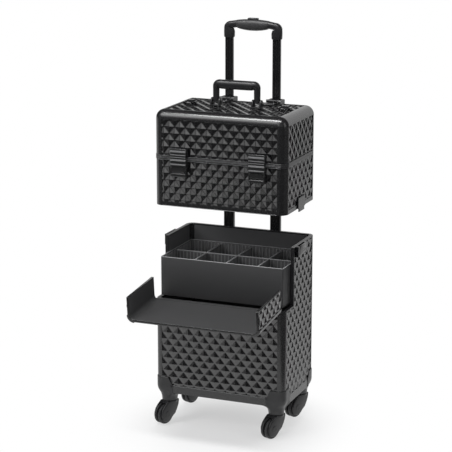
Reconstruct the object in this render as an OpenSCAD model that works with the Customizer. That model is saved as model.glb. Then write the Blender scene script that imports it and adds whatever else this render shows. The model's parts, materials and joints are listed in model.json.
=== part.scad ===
// Rolling makeup train case.
// A lower trolley case has a drop-front flap and a lift-out box with compartments.
// An upper train case slides on the trolley posts and opens at a hinged lid.
// Axes: +X right, +Y to the rear, +Z up. The origin is on the floor, at the middle
// of the whole outline. Modules are drawn with the front face of the cases at Y = 0,
// and placed() moves them to that origin.

/* [Cases] */
// Outside width of both cases
case_w = 344; // [338:1:352]
// Outside depth of both cases
case_d = 218; // [212:1:224]
// Thickness of the wall boards
wall_t = 8; // [7:0.5:8]
// Thickness of the round corner profiles
profile_t = 9; // [8.5:0.5:9]

/* [Lower case] */
// Height of the underside of the base frame
base_bottom_z = 83; // [80:1:85]
// Height of the top of the base frame
base_top_z = 103; // [101:1:106]
// Height of the front wall's top edge
front_top_z = 327; // [322:1:330]
// Height of the case's top edge
rim_z = 474; // [474:1:478]
// Radius of the upright corners
lower_r = 18; // [17:1:20]
// Depth of the side openings that the flap's cheeks close
notch_d = 66; // [66:1:72]
// Height of the corner brackets' tops
bracket_top_z = 124; // [118:1:130]

/* [Flap] */
// Length of the flap, from its hinged edge to its free edge
flap_len = 146.5; // [143:0.5:146.5]
// Height of the flap's cheeks
cheek_h = 65.5; // [58:0.5:65.5]
// Angle at which the open flap droops below level
flap_droop = 5.5; // [0:0.5:6]
// Distance of the hinge axis in front of the case
flap_axis_out = 8; // [8:0.5:12]
// Distance of the hinge axis below the flap's hinged edge
flap_axis_drop = 10; // [9:0.5:12]

/* [Compartment box] */
// Width of the box
box_w = 324; // [300:1:324]
// Distance of the box behind the front face
box_front = 14; // [12:1:18]
// Height of the box's underside
box_bottom_z = 333.5; // [333:0.5:337]
// Height of the box's rim
box_top_z = 433; // [420:1:440]
// Distance between cross dividers
column_w = 84; // [74:1:88]

/* [Upper case] */
// Height of the upper case's underside, raised above the lower case
upper_bottom_z = 567; // [560:1:575]
// Height of the joint between base and lid
seam_z = 687.5; // [685:0.5:690]
// Height of the lid's top
upper_top_z = 804; // [802:1:806]
// Radius of the upper case's round edges
upper_r = 22; // [21:1:24]

/* [Trolley] */
// Distance of each post from the middle
post_x = 63.3; // [61:0.1:66]
// Distance of the posts' middle behind the cases
post_back = 9; // [8.5:0.5:10]
// Height of the grip's underside
grip_bottom_z = 959; // [955:1:965]
// Height of the grip's top
grip_top_z = 1005; // [1003:1:1010]

/* [Carry handle] */
// Distance of each leg from the middle
leg_x = 54; // [49:1:56]
// Height of the hand bar's axis
hand_bar_z = 857; // [852:1:860]
// Radius of the hand bar
hand_bar_r = 11.5; // [10:0.5:12]

/* [Casters] */
// Radius of each wheel
wheel_r = 26; // [24:0.5:26]
// Width of each wheel
wheel_w = 20; // [16:1:20]
// Distance of each swivel axis from the middle, across
caster_x = 144; // [140:1:146]
// Distance of each swivel axis from the front or rear face
caster_in = 24; // [22:1:28]
// Distance of each wheel's axle behind its swivel axis
caster_trail = 22.5; // [22:0.5:26]
// Direction in which the wheels trail, from +X towards +Y
caster_heading = -110; // [-180:5:180]

/* [Hidden] */
$fn = 64;

half_w = case_w / 2;
inset = 0.5;            // boards lie this far behind the profiles' faces
inner_x = half_w - inset - wall_t;
part_gap = 0.2;         // joint between neighbouring profiles
move_gap = 0.3;         // least clearance between bodies that move
pin_play = 0.05;        // radial play of a pin in its bore
screw_pin_r = 2.5;

post_y = case_d + post_back;
block_back = 11;        // the post blocks reach this far behind the posts
pad_half_d = 12.5;
rear_reach = post_y + pad_half_d;
flap_t = 8.5;
strip_t = 1.2;
flap_reach = flap_axis_out + (flap_axis_drop + flap_len) * cos(flap_droop)
    + (flap_axis_out + cheek_h) * sin(flap_droop);
front_y = (flap_reach - rear_reach) / 2;
flap_axis_z = front_top_z + move_gap + 0.2 - flap_axis_drop;

trim_t = 3;
rim_lip = 4;
ledge_t = 7;

hinge_x = 110;
hinge_arm_w = 12;
hinge_ear_w = 5.5;

box_rear = case_d - wall_t - 3;
box_wall = 2.5;
box_floor = 3;
box_r = 4;
divider_t = 1.6;
divider_drop = 5;       // dividers end this far below the rim

outer_tube = [27.5, 16, 5];
outer_bore = [22.4, 12.8, 4];
inner_tube = [21, 12, 3.5];
inner_bore = [18.6, 9.6, 2.5];
outer_top_z = upper_top_z + 1;
tube_bottom_z = base_top_z + 4;
inner_bottom_z = 480;
block_half = 18;

keeper_drop = 8;
side_latch_r = 1.5;
side_latch_half = 30;
side_latch_h = 27;
side_cheek_t = 6;
side_axis_x = half_w + 4.5;
side_axis_z = rim_z - 22;

latch_x = 102;
latch_w = 42;
latch_axis_y = -8;
latch_axis_z = seam_z - 29.5;
latch_low_z = latch_axis_z - 12;
latch_top_z = seam_z + 26.5;
latch_pin_r = 2;

rim_out = 1;            // seam strips stand proud by this much
rim_h = 5.3;
tray_bottom_z = seam_z - 47.2;
tray_top_z = seam_z - 9.5;
lid_side_z = upper_top_z - upper_r;
lid_rear_y = case_d - upper_r - 0.4;   // the lid ends here, in front of the fixed rear edge
lid_axis_y = case_d - upper_r;
lid_axis_z = upper_top_z + 4.4;
knuckle_r = 4;
knuckle_pin_r = 2;

handle_y = case_d / 2 + 8;
handle_axis_z = 815;
ring_x = 125;
ring_y = 125;
ring_z = upper_top_z + 4;
ring_wire_r = 2;
ring_r = 15;

hood_z = 58.5;
stem_r = 5;
axle_r = 3;

// ---- Shared shapes ----

// Moves a piece from the front-face origin to the part's origin
module placed() {
    translate([0, front_y, 0]) children();
}

// Rectangle with round corners, centred
module round_rect(w, d, r) {
    square([w - 2 * r, d], center = true);
    square([w, d - 2 * r], center = true);
    for (x = [-1, 1], y = [-1, 1])
        translate([x * (w / 2 - r), y * (d / 2 - r)]) circle(r = r);
}

// Upright tube or bar with a rounded section
module round_bar(section, z0, z1) {
    translate([0, 0, z0]) linear_extrude(z1 - z0) round_rect(section[0], section[1], section[2]);
}

// Box between two corners
module block(low, high) {
    translate(low) cube(high - low);
}

// Prism along X of an outline drawn in Y and Z
module along_x(x0, x1) {
    translate([x0, 0, 0]) rotate([90, 0, 90]) linear_extrude(x1 - x0) children();
}

// Prism along Y of an outline drawn in X and Z
module along_y(y0, y1) {
    translate([0, y1, 0]) rotate([90, 0, 0]) linear_extrude(y1 - y0) children();
}

// Round bar along X
module rod_x(x0, x1, r) {
    translate([x0, 0, 0]) rotate([0, 90, 0]) cylinder(h = x1 - x0, r = r);
}

// Round bar along Y
module rod_y(y0, y1, r) {
    translate([0, y1, 0]) rotate([90, 0, 0]) cylinder(h = y1 - y0, r = r);
}

// Copies to the left and right
module both_sides() {
    children();
    mirror([1, 0, 0]) children();
}

// Moves a shape drawn for the rear right corner to another corner of a case
module at_corner(side, end, r) {
    translate([side * (half_w - r), case_d / 2 + end * (case_d / 2 - r), 0])
        mirror([side < 0 ? 1 : 0, 0, 0])
            mirror([0, end < 0 ? 1 : 0, 0])
                children();
}

// Outline of a case in plan, grown by an amount
module case_outline(r, grow) {
    translate([0, case_d / 2]) round_rect(case_w + 2 * grow, case_d + 2 * grow, r + grow);
}

// Quarter of a flat ring
module quarter_ring(r_out, r_in) {
    intersection() {
        difference() {
            circle(r = r_out);
            circle(r = r_in);
        }
        square(r_out);
    }
}

// Upright corner profile
module corner_post(r, z0, z1) {
    translate([0, 0, z0]) linear_extrude(z1 - z0) quarter_ring(r, r - profile_t);
}

// Strip along the front and both sides of the upper case at one height
module rim_strip(z0, z1, rear_y) {
    straight_x = half_w - upper_r - part_gap;
    block([-straight_x, -rim_out, z0], [straight_x, profile_t, z1]);
    both_sides()
        block([half_w - profile_t, upper_r + part_gap, z0], [half_w + rim_out, rear_y, z1]);
    for (side = [-1, 1])
        at_corner(side, -1, upper_r)
            translate([0, 0, z0]) linear_extrude(z1 - z0)
                quarter_ring(upper_r + rim_out, upper_r - profile_t);
}

// ---- Lower case ----

module base_frame() {
    color("#2a2a2c") {
        translate([0, 0, base_bottom_z]) linear_extrude(base_top_z - base_bottom_z) difference() {
            case_outline(lower_r, 0);
            case_outline(lower_r, -6);
        }
        translate([0, 0, base_top_z - 10]) linear_extrude(5) case_outline(lower_r, -5);
    }
}

module base_board() {
    color("#3a3a3c")
        translate([0, 0, base_top_z - 5]) linear_extrude(6) case_outline(lower_r, -profile_t - 0.2);
}

// Moulded bracket that wraps a bottom corner and carries a caster
module corner_bracket() {
    reach_x = 30;
    reach_y = 26;
    proud = 1.5;
    boss_r = 23;
    funnel_z = hood_z + 1.3;
    difference() {
        union() {
            intersection() {
                translate([0, 0, base_bottom_z - 4])
                    linear_extrude(bracket_top_z - base_bottom_z + 4)
                        union() {
                            quarter_ring(lower_r + proud, lower_r);
                            translate([-reach_x, lower_r]) square([reach_x, proud]);
                            translate([lower_r, -reach_y]) square([proud, reach_y]);
                        }
                along_y(-60, 60) polygon([[-reach_x, 60], [40, 60], [40, bracket_top_z],
                    [-reach_x * 0.6, bracket_top_z], [-reach_x, base_top_z]]);
                along_x(-60, 60) polygon([[-reach_y, 60], [40, 60], [40, bracket_top_z],
                    [-reach_y * 0.6, bracket_top_z], [-reach_y, base_top_z]]);
            }
            translate([0, 0, base_bottom_z - 4]) linear_extrude(4)
                union() {
                    quarter_ring(lower_r + proud, 0.01);
                    translate([-reach_x, 0]) square([reach_x + 0.1, lower_r + proud]);
                    translate([0, -reach_y]) square([lower_r + proud, reach_y + 0.1]);
                    translate([-reach_x, -reach_y]) square([reach_x + 0.1, reach_y + 0.1]);
                }
            translate([caster_x - half_w + lower_r, lower_r - caster_in, funnel_z])
                cylinder(h = base_bottom_z - 2 - funnel_z, r1 = boss_r - 3, r2 = boss_r);
        }
        translate([caster_x - half_w + lower_r, lower_r - caster_in, 50])
            cylinder(h = 60, r = 9);
    }
}

module corner_brackets() {
    color("#303032")
        for (side = [-1, 1], end = [-1, 1])
            at_corner(side, end, lower_r) corner_bracket();
}

// Steel cups in which the caster stems turn
module caster_cups() {
    color("#8a8a8e")
        for (side = [-1, 1], end = [-1, 1])
            translate([side * caster_x, case_d / 2 + end * (case_d / 2 - caster_in), 0])
                translate([0, 0, hood_z + 1.8]) difference() {
                    cylinder(h = 20, r = 9);
                    translate([0, 0, -1]) cylinder(h = 18, r = stem_r + pin_play);
                }
}

module lower_front_wall() {
    color("#242426")
        block([lower_r - half_w, inset, base_top_z],
            [half_w - lower_r, inset + wall_t, front_top_z - rim_lip]);
}

module lower_side_walls() {
    color("#242426")
        both_sides()
            along_x(inner_x, inner_x + wall_t) polygon([
                [lower_r, base_top_z],
                [case_d - lower_r, base_top_z],
                [case_d - lower_r, rim_z - trim_t],
                [notch_d + trim_t, rim_z - trim_t],
                [notch_d + trim_t, front_top_z - rim_lip],
                [lower_r, front_top_z - rim_lip]]);
}

module lower_rear_wall() {
    color("#242426")
        block([lower_r - half_w, case_d - inset - wall_t, base_top_z],
            [half_w - lower_r, case_d - inset, rim_z - trim_t]);
}

module lower_corner_posts() {
    color("#3c3c3e") {
        for (side = [-1, 1]) {
            at_corner(side, -1, lower_r) corner_post(lower_r, base_top_z, front_top_z - rim_lip);
            at_corner(side, 1, lower_r) corner_post(lower_r, base_top_z, rim_z - trim_t);
        }
    }
}

// Edging on every open edge of the boards
module lower_rim_trim() {
    low_z = front_top_z - rim_lip;
    straight_x = half_w - lower_r - part_gap;
    color("#1c1c1e") {
        block([-straight_x, 0, low_z], [straight_x, profile_t, front_top_z]);
        block([-straight_x, case_d - profile_t, rim_z - trim_t], [straight_x, case_d, rim_z]);
        both_sides() {
            block([half_w - profile_t, lower_r + part_gap, low_z],
                [half_w, notch_d - part_gap, front_top_z]);
            block([half_w - profile_t, notch_d, low_z], [half_w, notch_d + trim_t, rim_z]);
            block([half_w - profile_t, notch_d + trim_t + part_gap, rim_z - trim_t],
                [half_w, case_d - lower_r - part_gap, rim_z]);
        }
        for (side = [-1, 1]) {
            at_corner(side, -1, lower_r) corner_post(lower_r, low_z, front_top_z);
            at_corner(side, 1, lower_r) corner_post(lower_r, rim_z - trim_t, rim_z);
        }
    }
}

// Ledges that carry the compartment box
module box_ledges() {
    top_z = box_bottom_z - move_gap;
    color("#1c1c1e")
        both_sides()
            block([inner_x - 16, notch_d + trim_t, top_z - ledge_t],
                [inner_x, case_d - lower_r - 2, top_z]);
}

// Brackets on the front wall that hold the flap's hinge pins
module flap_hinge_brackets() {
    ear_in = hinge_arm_w / 2 + 0.4;
    plate_half = ear_in + hinge_ear_w + 6;
    color("#1c1c1e")
        both_sides()
            translate([hinge_x, 0, 0]) {
                block([-plate_half, -2, flap_axis_z - 19], [plate_half, inset, flap_axis_z + 3.2]);
                for (x = [-ear_in - hinge_ear_w, ear_in])
                    along_x(x, x + hinge_ear_w) union() {
                        polygon([[0, flap_axis_z - 10], [0, flap_axis_z + 5],
                            [-flap_axis_out, flap_axis_z + 5], [-flap_axis_out, flap_axis_z - 5]]);
                        translate([-flap_axis_out, flap_axis_z]) circle(r = 5);
                    }
                translate([0, -flap_axis_out, flap_axis_z])
                    rod_x(-ear_in - 1, ear_in + 1, screw_pin_r);
            }
}

// ---- Side latches between the two cases ----

module side_latch_bases() {
    outer_x = half_w + 7;
    low_z = rim_z - side_latch_h;
    color("#1c1c1e")
        both_sides()
            translate([0, case_d / 2, 0]) {
                block([half_w - inset, -side_latch_half, low_z],
                    [outer_x - 3, side_latch_half, low_z + 1.5]);
                for (end = [-1, 1])
                    translate([0, end * (side_latch_half - side_cheek_t / 2), 0]) {
                        block([half_w - inset, -side_cheek_t / 2, low_z],
                            [outer_x, side_cheek_t / 2, rim_z - trim_t - part_gap]);
                        block([half_w, -side_cheek_t / 2, low_z],
                            [outer_x, side_cheek_t / 2, rim_z - 0.5]);
                    }
                translate([side_axis_x, 0, side_axis_z])
                    rod_y(-side_latch_half + 1, side_latch_half - 1, side_latch_r);
            }
}

module side_latch_lever(side) {
    half = side_latch_half - side_cheek_t - move_gap;
    color("#2a2a2c")
        mirror([side < 0 ? 1 : 0, 0, 0])
            translate([side_axis_x, case_d / 2, side_axis_z])
                difference() {
                    union() {
                        rod_y(-half, half, 3);
                        block([-0.3, -half, 0], [3.5, half, rim_z - side_axis_z - 0.5]);
                    }
                    rod_y(-half - 1, half + 1, side_latch_r + pin_play);
                }
}

// Tongues on the upper case that the side latches hold
module side_keepers() {
    tongue_half = 18;
    color("#1c1c1e")
        both_sides()
            translate([0, case_d / 2, 0]) {
                block([half_w - inset, -tongue_half - 6, base_wall_low + part_gap],
                    [half_w + 3.2, tongue_half + 6, upper_bottom_z + 27]);
                block([half_w, -tongue_half - 6, upper_bottom_z + 0.4],
                    [half_w + 3.2, tongue_half + 6, base_wall_low + 1]);
                block([half_w + 0.5, -tongue_half, upper_bottom_z - keeper_drop],
                    [half_w + 3.2, tongue_half, upper_bottom_z + 1]);
            }
}

// ---- Flap ----

// The open flap's own frame: origin on the hinge axis, -Y towards the free edge
module in_flap() {
    translate([0, -flap_axis_out, flap_axis_z]) rotate([flap_droop, 0, 0]) children();
}

// Place in the case's frame, as [y, z], of a point of the flap's own frame
function flap_point(y, z) = [
    -flap_axis_out + y * cos(flap_droop) - z * sin(flap_droop),
    flap_axis_z + y * sin(flap_droop) + z * cos(flap_droop)];

module flap_panel() {
    color("#464648")
        in_flap()
            block([lower_r - half_w, -flap_axis_drop - flap_len, flap_axis_out],
                [half_w - lower_r, -flap_axis_drop, flap_axis_out + flap_t]);
}

module flap_cheeks() {
    color("#242426")
        in_flap()
            both_sides()
                along_y(-flap_axis_drop - flap_len, -flap_axis_drop) {
                    translate([half_w - lower_r, flap_axis_out + lower_r])
                        mirror([0, 1]) quarter_ring(lower_r, lower_r - flap_t);
                    translate([half_w - flap_t, flap_axis_out + lower_r])
                        square([flap_t, cheek_h - lower_r]);
                }
}

module flap_hinge_arms() {
    pad_near = flap_axis_drop + 2;
    pad_far = flap_axis_drop + 26;
    color("#1c1c1e")
        in_flap()
            both_sides()
                translate([hinge_x, 0, 0]) difference() {
                    along_x(-hinge_arm_w / 2, hinge_arm_w / 2) {
                        polygon([[-pad_far, flap_axis_out], [-pad_near, flap_axis_out],
                            [1, 4.9], [-2, -4.5]]);
                        circle(r = 5);
                    }
                    rod_x(-hinge_arm_w, hinge_arm_w, screw_pin_r + pin_play);
                }
}

// Flexible strip that closes the gap between the flap and the front wall
module flap_strip() {
    low = flap_point(0.05 - flap_axis_drop, flap_axis_out + flap_t - strip_t - 1);
    high = flap_point(0.05 - flap_axis_drop, flap_axis_out + flap_t - 1);
    color("#464648")
        along_x(-box_w / 2, box_w / 2) polygon([
            [profile_t - 1, front_top_z], [1, front_top_z], low,
            high, [1, front_top_z + strip_t], [profile_t - 1, front_top_z + strip_t]]);
}

// ---- Compartment box ----

module compartment_box() {
    box_d = box_rear - box_front;
    color("#3a3a3c")
        translate([0, (box_front + box_rear) / 2, 0]) difference() {
            round_bar([box_w, box_d, box_r], box_bottom_z, box_top_z);
            round_bar([box_w - 2 * box_wall, box_d - 2 * box_wall, box_r - box_wall],
                box_bottom_z + box_floor, box_top_z + 1);
        }
}

divider_low = box_bottom_z + box_floor;
divider_high = box_top_z - divider_drop;
divider_mid = (divider_low + divider_high) / 2;
cross_count = 3;

// Places where the cross dividers stand
function cross_places() = [for (i = [1 : cross_count]) -box_w / 2 + i * column_w];

module long_divider() {
    half = box_w / 2 - box_wall - move_gap;
    color("#4c4c4e")
        translate([0, (box_front + box_rear) / 2, 0]) difference() {
            block([-half, -divider_t / 2, divider_low], [half, divider_t / 2, divider_high]);
            for (x = cross_places())
                block([x - divider_t / 2 - move_gap, -divider_t, divider_mid],
                    [x + divider_t / 2 + move_gap, divider_t, divider_high + 1]);
        }
}

module cross_dividers() {
    half = (box_rear - box_front) / 2 - box_wall - move_gap;
    color("#4c4c4e")
        translate([0, (box_front + box_rear) / 2, 0])
            for (x = cross_places())
                difference() {
                    block([x - divider_t / 2, -half, divider_low],
                        [x + divider_t / 2, half, divider_high]);
                    block([x - divider_t, -divider_t / 2 - move_gap, divider_low - 1],
                        [x + divider_t, divider_t / 2 + move_gap, divider_mid + move_gap]);
                }
}

// ---- Trolley posts and grip ----

// Copies to both posts
module at_posts() {
    for (x = [-post_x, post_x]) translate([x, post_y, 0]) children();
}

module post_outer_tubes() {
    color("#18181a")
        at_posts() difference() {
            round_bar(outer_tube, tube_bottom_z, outer_top_z);
            round_bar(outer_bore, tube_bottom_z - 1, outer_top_z + 1);
        }
}

// Block that holds a post to the rear of a case, round a hole of the given section
module post_block(hole, z0, z1) {
    difference() {
        block([-block_half, -post_back - inset, z0], [block_half, block_back, z1]);
        round_bar(hole, z0 - 1, z1 + 1);
    }
}

module post_mounts() {
    color("#2a2a2c")
        at_posts() {
            post_block(outer_tube, tube_bottom_z, tube_bottom_z + 30);
            post_block(outer_tube, rim_z - 40, rim_z - 10);
        }
}

// Guides of the upper case that slide on the posts: a low block, and a top one that
// wraps over the round rear edge
module post_sleeves() {
    hole = [outer_tube[0] + 2 * move_gap, outer_tube[1] + 2 * move_gap, outer_tube[2]];
    low_z = lid_side_z - 10;
    top_z = upper_top_z + 5;
    back_y = post_y + block_back;
    color("#2a2a2c") {
        at_posts() post_block(hole, upper_bottom_z + 16, upper_bottom_z + 40);
        for (x = [-post_x, post_x])
            difference() {
                along_x(x - block_half, x + block_half) difference() {
                    polygon([[case_d - inset, low_z], [back_y, low_z],
                        [back_y, top_z - 3], [back_y - 3, top_z],
                        [case_d - 8, top_z], [case_d - 10.5, top_z - 3],
                        [case_d - 10.5, lid_side_z], [case_d - inset, lid_side_z]]);
                    translate([case_d - upper_r, lid_side_z]) circle(r = upper_r);
                }
                translate([x, post_y, 0]) round_bar(hole, low_z - 1, top_z + 1);
            }
    }
}

module post_inner_tubes() {
    color("#1e1e20")
        at_posts() difference() {
            round_bar(inner_tube, inner_bottom_z, grip_bottom_z + 8);
            round_bar(inner_bore, inner_bottom_z - 1, grip_bottom_z + 9);
        }
}

grip_half = 77;
socket_w = 27;
grip_bar_z = grip_top_z - 25;
grip_rise = 10;
core_half = 40;
core_low = grip_top_z - 21;
core_high = grip_top_z - 10;

// Space under the bowed top edge of the grip
module under_arch(top_z) {
    arch_r = (grip_half * grip_half + grip_rise * grip_rise) / (2 * grip_rise);
    translate([0, top_z - arch_r]) circle(r = arch_r, $fn = 128);
}

module trolley_grip() {
    corner_r = 12;
    half_d = 10;
    color("#1c1c1e")
        translate([0, post_y, 0]) difference() {
            along_y(-half_d, half_d) intersection() {
                difference() {
                    translate([0, grip_bottom_z - 2 * corner_r]) intersection() {
                        translate([0, 35]) round_rect(2 * grip_half, 70, corner_r);
                        translate([-grip_half, 2 * corner_r]) square([2 * grip_half, 60]);
                    }
                    translate([-grip_half + socket_w, grip_bottom_z - 1])
                        square([2 * (grip_half - socket_w), grip_bar_z - grip_bottom_z + 1]);
                    translate([-core_half, grip_bar_z - 1])
                        square([2 * core_half, core_low - grip_bar_z + 1]);
                    translate([-core_half, core_high]) square([2 * core_half, 30]);
                }
                under_arch(grip_top_z);
            }
            for (x = [-post_x, post_x])
                translate([x, 0, 0]) round_bar(inner_tube, grip_bottom_z - 1, grip_bottom_z + 8);
        }
}

button = [26, 13, 5];
button_low_z = grip_top_z - 6;

// Soft sleeve round the middle of the grip
module grip_pad() {
    color("#26262a")
        translate([0, post_y, 0]) difference() {
            along_y(-pad_half_d, pad_half_d) intersection() {
                translate([0, (grip_bar_z + grip_top_z) / 2])
                    round_rect(2 * core_half, grip_top_z - grip_bar_z + 4, 6);
                under_arch(grip_top_z + 0.8);
            }
            block([-core_half - 1, -10, core_low], [core_half + 1, 10, core_high]);
            round_bar([button[0] + 0.6, button[1] + 0.6, button[2]], core_high - 1, grip_top_z + 9);
        }
}

module release_button() {
    color("#333336")
        translate([0, post_y, 0]) round_bar(button, button_low_z, grip_top_z + 4);
}

// ---- Casters ----

// Moves a shape drawn about a swivel axis to one caster, with +X along its trail
module at_caster(side, end) {
    translate([side * caster_x, case_d / 2 + end * (case_d / 2 - caster_in), 0])
        rotate([0, 0, caster_heading]) children();
}

module caster_fork() {
    arm_in = wheel_w / 2 + 0.8;
    arm_out = arm_in + 4;
    color("#303032") {
        translate([0, 0, wheel_r * 2 + 1]) cylinder(h = hood_z - wheel_r * 2 - 1, r = 19);
        translate([0, 0, hood_z - 2]) cylinder(h = 18, r = stem_r);
        for (side = [-1, 1])
            along_y(side > 0 ? arm_in : -arm_out, side > 0 ? arm_out : -arm_in) {
                polygon([[-12, hood_z], [12, hood_z], [caster_trail + 9, wheel_r + 3],
                    [caster_trail, wheel_r - 9], [caster_trail - 9, wheel_r - 3]]);
                translate([caster_trail, wheel_r]) circle(r = 9);
            }
        translate([caster_trail, 0, wheel_r]) rod_y(-arm_in - 1, arm_in + 1, axle_r);
    }
}

module caster_wheel() {
    color("#1a1a1c")
        translate([caster_trail, 0, wheel_r]) difference() {
            rod_y(-wheel_w / 2, wheel_w / 2, wheel_r);
            rod_y(-wheel_w, wheel_w, axle_r + pin_play);
        }
}

// ---- Upper case ----

module upper_floor() {
    color("#2c2c2e")
        translate([0, 0, upper_bottom_z + 2]) linear_extrude(6)
            case_outline(upper_r, -profile_t - 0.1);
}

module upper_bottom_trim() {
    color("#3c3c3e") rim_flat(upper_bottom_z, upper_bottom_z + 10);
}

// Strip round the upper case that is flush with its profiles
module rim_flat(z0, z1) {
    translate([0, 0, z0]) linear_extrude(z1 - z0) difference() {
        case_outline(upper_r, 0);
        case_outline(upper_r, -profile_t);
    }
}

base_wall_low = upper_bottom_z + 10;
base_wall_high = seam_z - rim_h - 0.2;
lid_wall_low = seam_z + rim_h + 0.2;
edge_half = half_w - upper_r - part_gap;

// Front board and both side boards between two heights
module three_walls(z0, z1, rear_y) {
    block([upper_r - half_w, inset, z0], [half_w - upper_r, inset + wall_t, z1]);
    both_sides()
        block([inner_x, upper_r, z0], [inner_x + wall_t, rear_y, z1]);
}

// Ball-shaped shell where three round edges meet, drawn for the rear right corner
module ball_corner() {
    translate([0, 0, lid_side_z]) intersection() {
        difference() {
            sphere(r = upper_r);
            sphere(r = upper_r - profile_t);
        }
        cube(upper_r);
    }
}

module upper_walls() {
    color("#242426") three_walls(base_wall_low, base_wall_high, case_d - upper_r);
}

// Rear board, full height, which carries the lid's hinge
module upper_back_panel() {
    color("#242426")
        block([upper_r - half_w + 0.4, case_d - inset - wall_t, base_wall_low],
            [half_w - upper_r - 0.4, case_d - inset, lid_side_z - 0.4]);
}

// Front corner profiles up to the joint, and the fixed rear frame: full-height corner
// profiles, ball corners and the round top edge in front of the posts
module upper_frame() {
    color("#3c3c3e") {
        for (side = [-1, 1]) {
            at_corner(side, -1, upper_r) corner_post(upper_r, base_wall_low, base_wall_high);
            at_corner(side, 1, upper_r) {
                corner_post(upper_r, base_wall_low, lid_side_z - part_gap);
                ball_corner();
            }
        }
        translate([0, case_d - upper_r, lid_side_z])
            along_x(-edge_half, edge_half) quarter_ring(upper_r, upper_r - profile_t);
    }
}

module upper_rim() {
    color("#5a5a5e") rim_strip(base_wall_high, seam_z - 0.2, case_d - upper_r - part_gap);
}

module tray_ledges() {
    color("#1c1c1e")
        both_sides()
            block([inner_x - 12, upper_r + 4, tray_bottom_z - 8.3],
                [inner_x, case_d - upper_r - 4, tray_bottom_z - move_gap]);
}

module lift_tray() {
    tray_d = case_d - 28;
    color("#3a3a3c")
        translate([0, case_d / 2, 0]) difference() {
            round_bar([box_w, tray_d, 10], tray_bottom_z, tray_top_z);
            for (x = [-1, 0, 1])
                translate([x * (box_w - box_wall) / 3, 0, 0])
                    round_bar([(box_w - box_wall) / 3 - box_wall, tray_d - 2 * box_wall, 8],
                        tray_bottom_z + box_floor, tray_top_z + 1);
        }
}

// ---- Front latches ----

// Copies to both front latches
module at_latches() {
    for (x = [-latch_x, latch_x]) translate([x, 0, 0]) children();
}

module latch_bases() {
    color("#1c1c1e")
        at_latches() {
            block([-latch_w / 2, -3, latch_low_z], [latch_w / 2, inset, base_wall_high - 0.2]);
            both_sides()
                along_x(latch_w / 2 - 4, latch_w / 2) {
                    polygon([[0, latch_axis_z - 10], [0, latch_axis_z + 8],
                        [latch_axis_y, latch_axis_z + 4], [latch_axis_y, latch_axis_z - 4]]);
                    translate([latch_axis_y, latch_axis_z]) circle(r = 4);
                }
            translate([0, latch_axis_y, latch_axis_z])
                rod_x(-latch_w / 2 + 1, latch_w / 2 - 1, latch_pin_r);
        }
}

module latch_catches() {
    color("#1c1c1e")
        at_latches() {
            block([-latch_w / 2, -3, lid_wall_low + 0.2], [latch_w / 2, inset, latch_top_z - 2]);
            along_x(-12, 12) translate([0, lid_wall_low])
                polygon([[-2, 4], [-5.5, 4], [-6.5, 8], [-2, 12]]);
        }
}

module latch_lever(x) {
    eye_half = latch_w / 2 - 4 - move_gap;
    color("#2e2e30")
        translate([x, latch_axis_y, latch_axis_z]) difference() {
            union() {
                rod_x(-eye_half, eye_half, 4);
                block([-eye_half, -4, 0], [eye_half, -0.5, 10]);
                block([-latch_w / 2, -4, 9], [latch_w / 2, -0.5, latch_top_z - latch_axis_z]);
                for (z = [14 : 7 : 49])
                    block([-latch_w / 2, -5, z], [latch_w / 2, -3.9, z + 3]);
            }
            rod_x(-latch_w, latch_w, latch_pin_r + pin_play);
        }
}

// ---- Lid ----

module lid_top() {
    color("#242426")
        block([upper_r - half_w, upper_r, upper_top_z - inset - wall_t],
            [half_w - upper_r, lid_rear_y, upper_top_z - inset]);
}

module lid_walls() {
    color("#242426") three_walls(lid_wall_low, lid_side_z, lid_rear_y);
}

// Round top edges, front ball corners and front corner profiles
module lid_edge_frame() {
    inner_r = upper_r - profile_t;
    color("#3c3c3e") {
        translate([0, upper_r, lid_side_z])
            mirror([0, 1, 0]) along_x(-edge_half, edge_half) quarter_ring(upper_r, inner_r);
        both_sides()
            translate([half_w - upper_r, 0, lid_side_z])
                along_y(upper_r + part_gap, lid_rear_y) quarter_ring(upper_r, inner_r);
        for (side = [-1, 1])
            at_corner(side, -1, upper_r) {
                corner_post(upper_r, lid_wall_low, lid_side_z - part_gap);
                ball_corner();
            }
    }
}

module lid_rim() {
    color("#5a5a5e") rim_strip(seam_z + 0.2, lid_wall_low, lid_rear_y);
}

knuckle_in = 7;         // half width of a lid hinge's middle knuckle
knuckle_out = 15;       // half width of a lid hinge

// Half hinges on the fixed rear edge, with their pins
module lid_hinge_base() {
    color("#2a2a2c")
        for (x = [-post_x, post_x])
            translate([x, 0, 0]) {
                for (x0 = [-knuckle_out, knuckle_in + move_gap]) {
                    x1 = x0 + knuckle_out - knuckle_in - move_gap;
                    translate([0, lid_axis_y, lid_axis_z]) rod_x(x0, x1, knuckle_r);
                    translate([0, case_d - upper_r, lid_side_z])
                        along_x(x0, x1) intersection() {
                            quarter_ring(upper_r + 2.4, upper_r);
                            square([11, upper_r + 2.4]);
                        }
                }
                translate([0, lid_axis_y, lid_axis_z])
                    rod_x(-knuckle_out, knuckle_out, knuckle_pin_r);
            }
}

// Half hinges on top of the lid
module lid_hinge_leaf() {
    leaf_y = case_d - 58;
    top_z = upper_top_z - inset;
    color("#2a2a2c")
        for (x = [-post_x, post_x])
            translate([x, 0, 0]) {
                block([-knuckle_out, leaf_y, top_z],
                    [knuckle_out, lid_axis_y - knuckle_r - 1, top_z + 2.4]);
                translate([0, lid_axis_y, lid_axis_z]) difference() {
                    union() {
                        rod_x(-knuckle_in, knuckle_in, knuckle_r);
                        block([-knuckle_in, -knuckle_r - 2, top_z - lid_axis_z],
                            [knuckle_in, -1, top_z - lid_axis_z + 2.4]);
                    }
                    rod_x(-knuckle_in - 1, knuckle_in + 1, knuckle_pin_r + pin_play);
                }
            }
}

// ---- Carry handle ----

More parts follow.
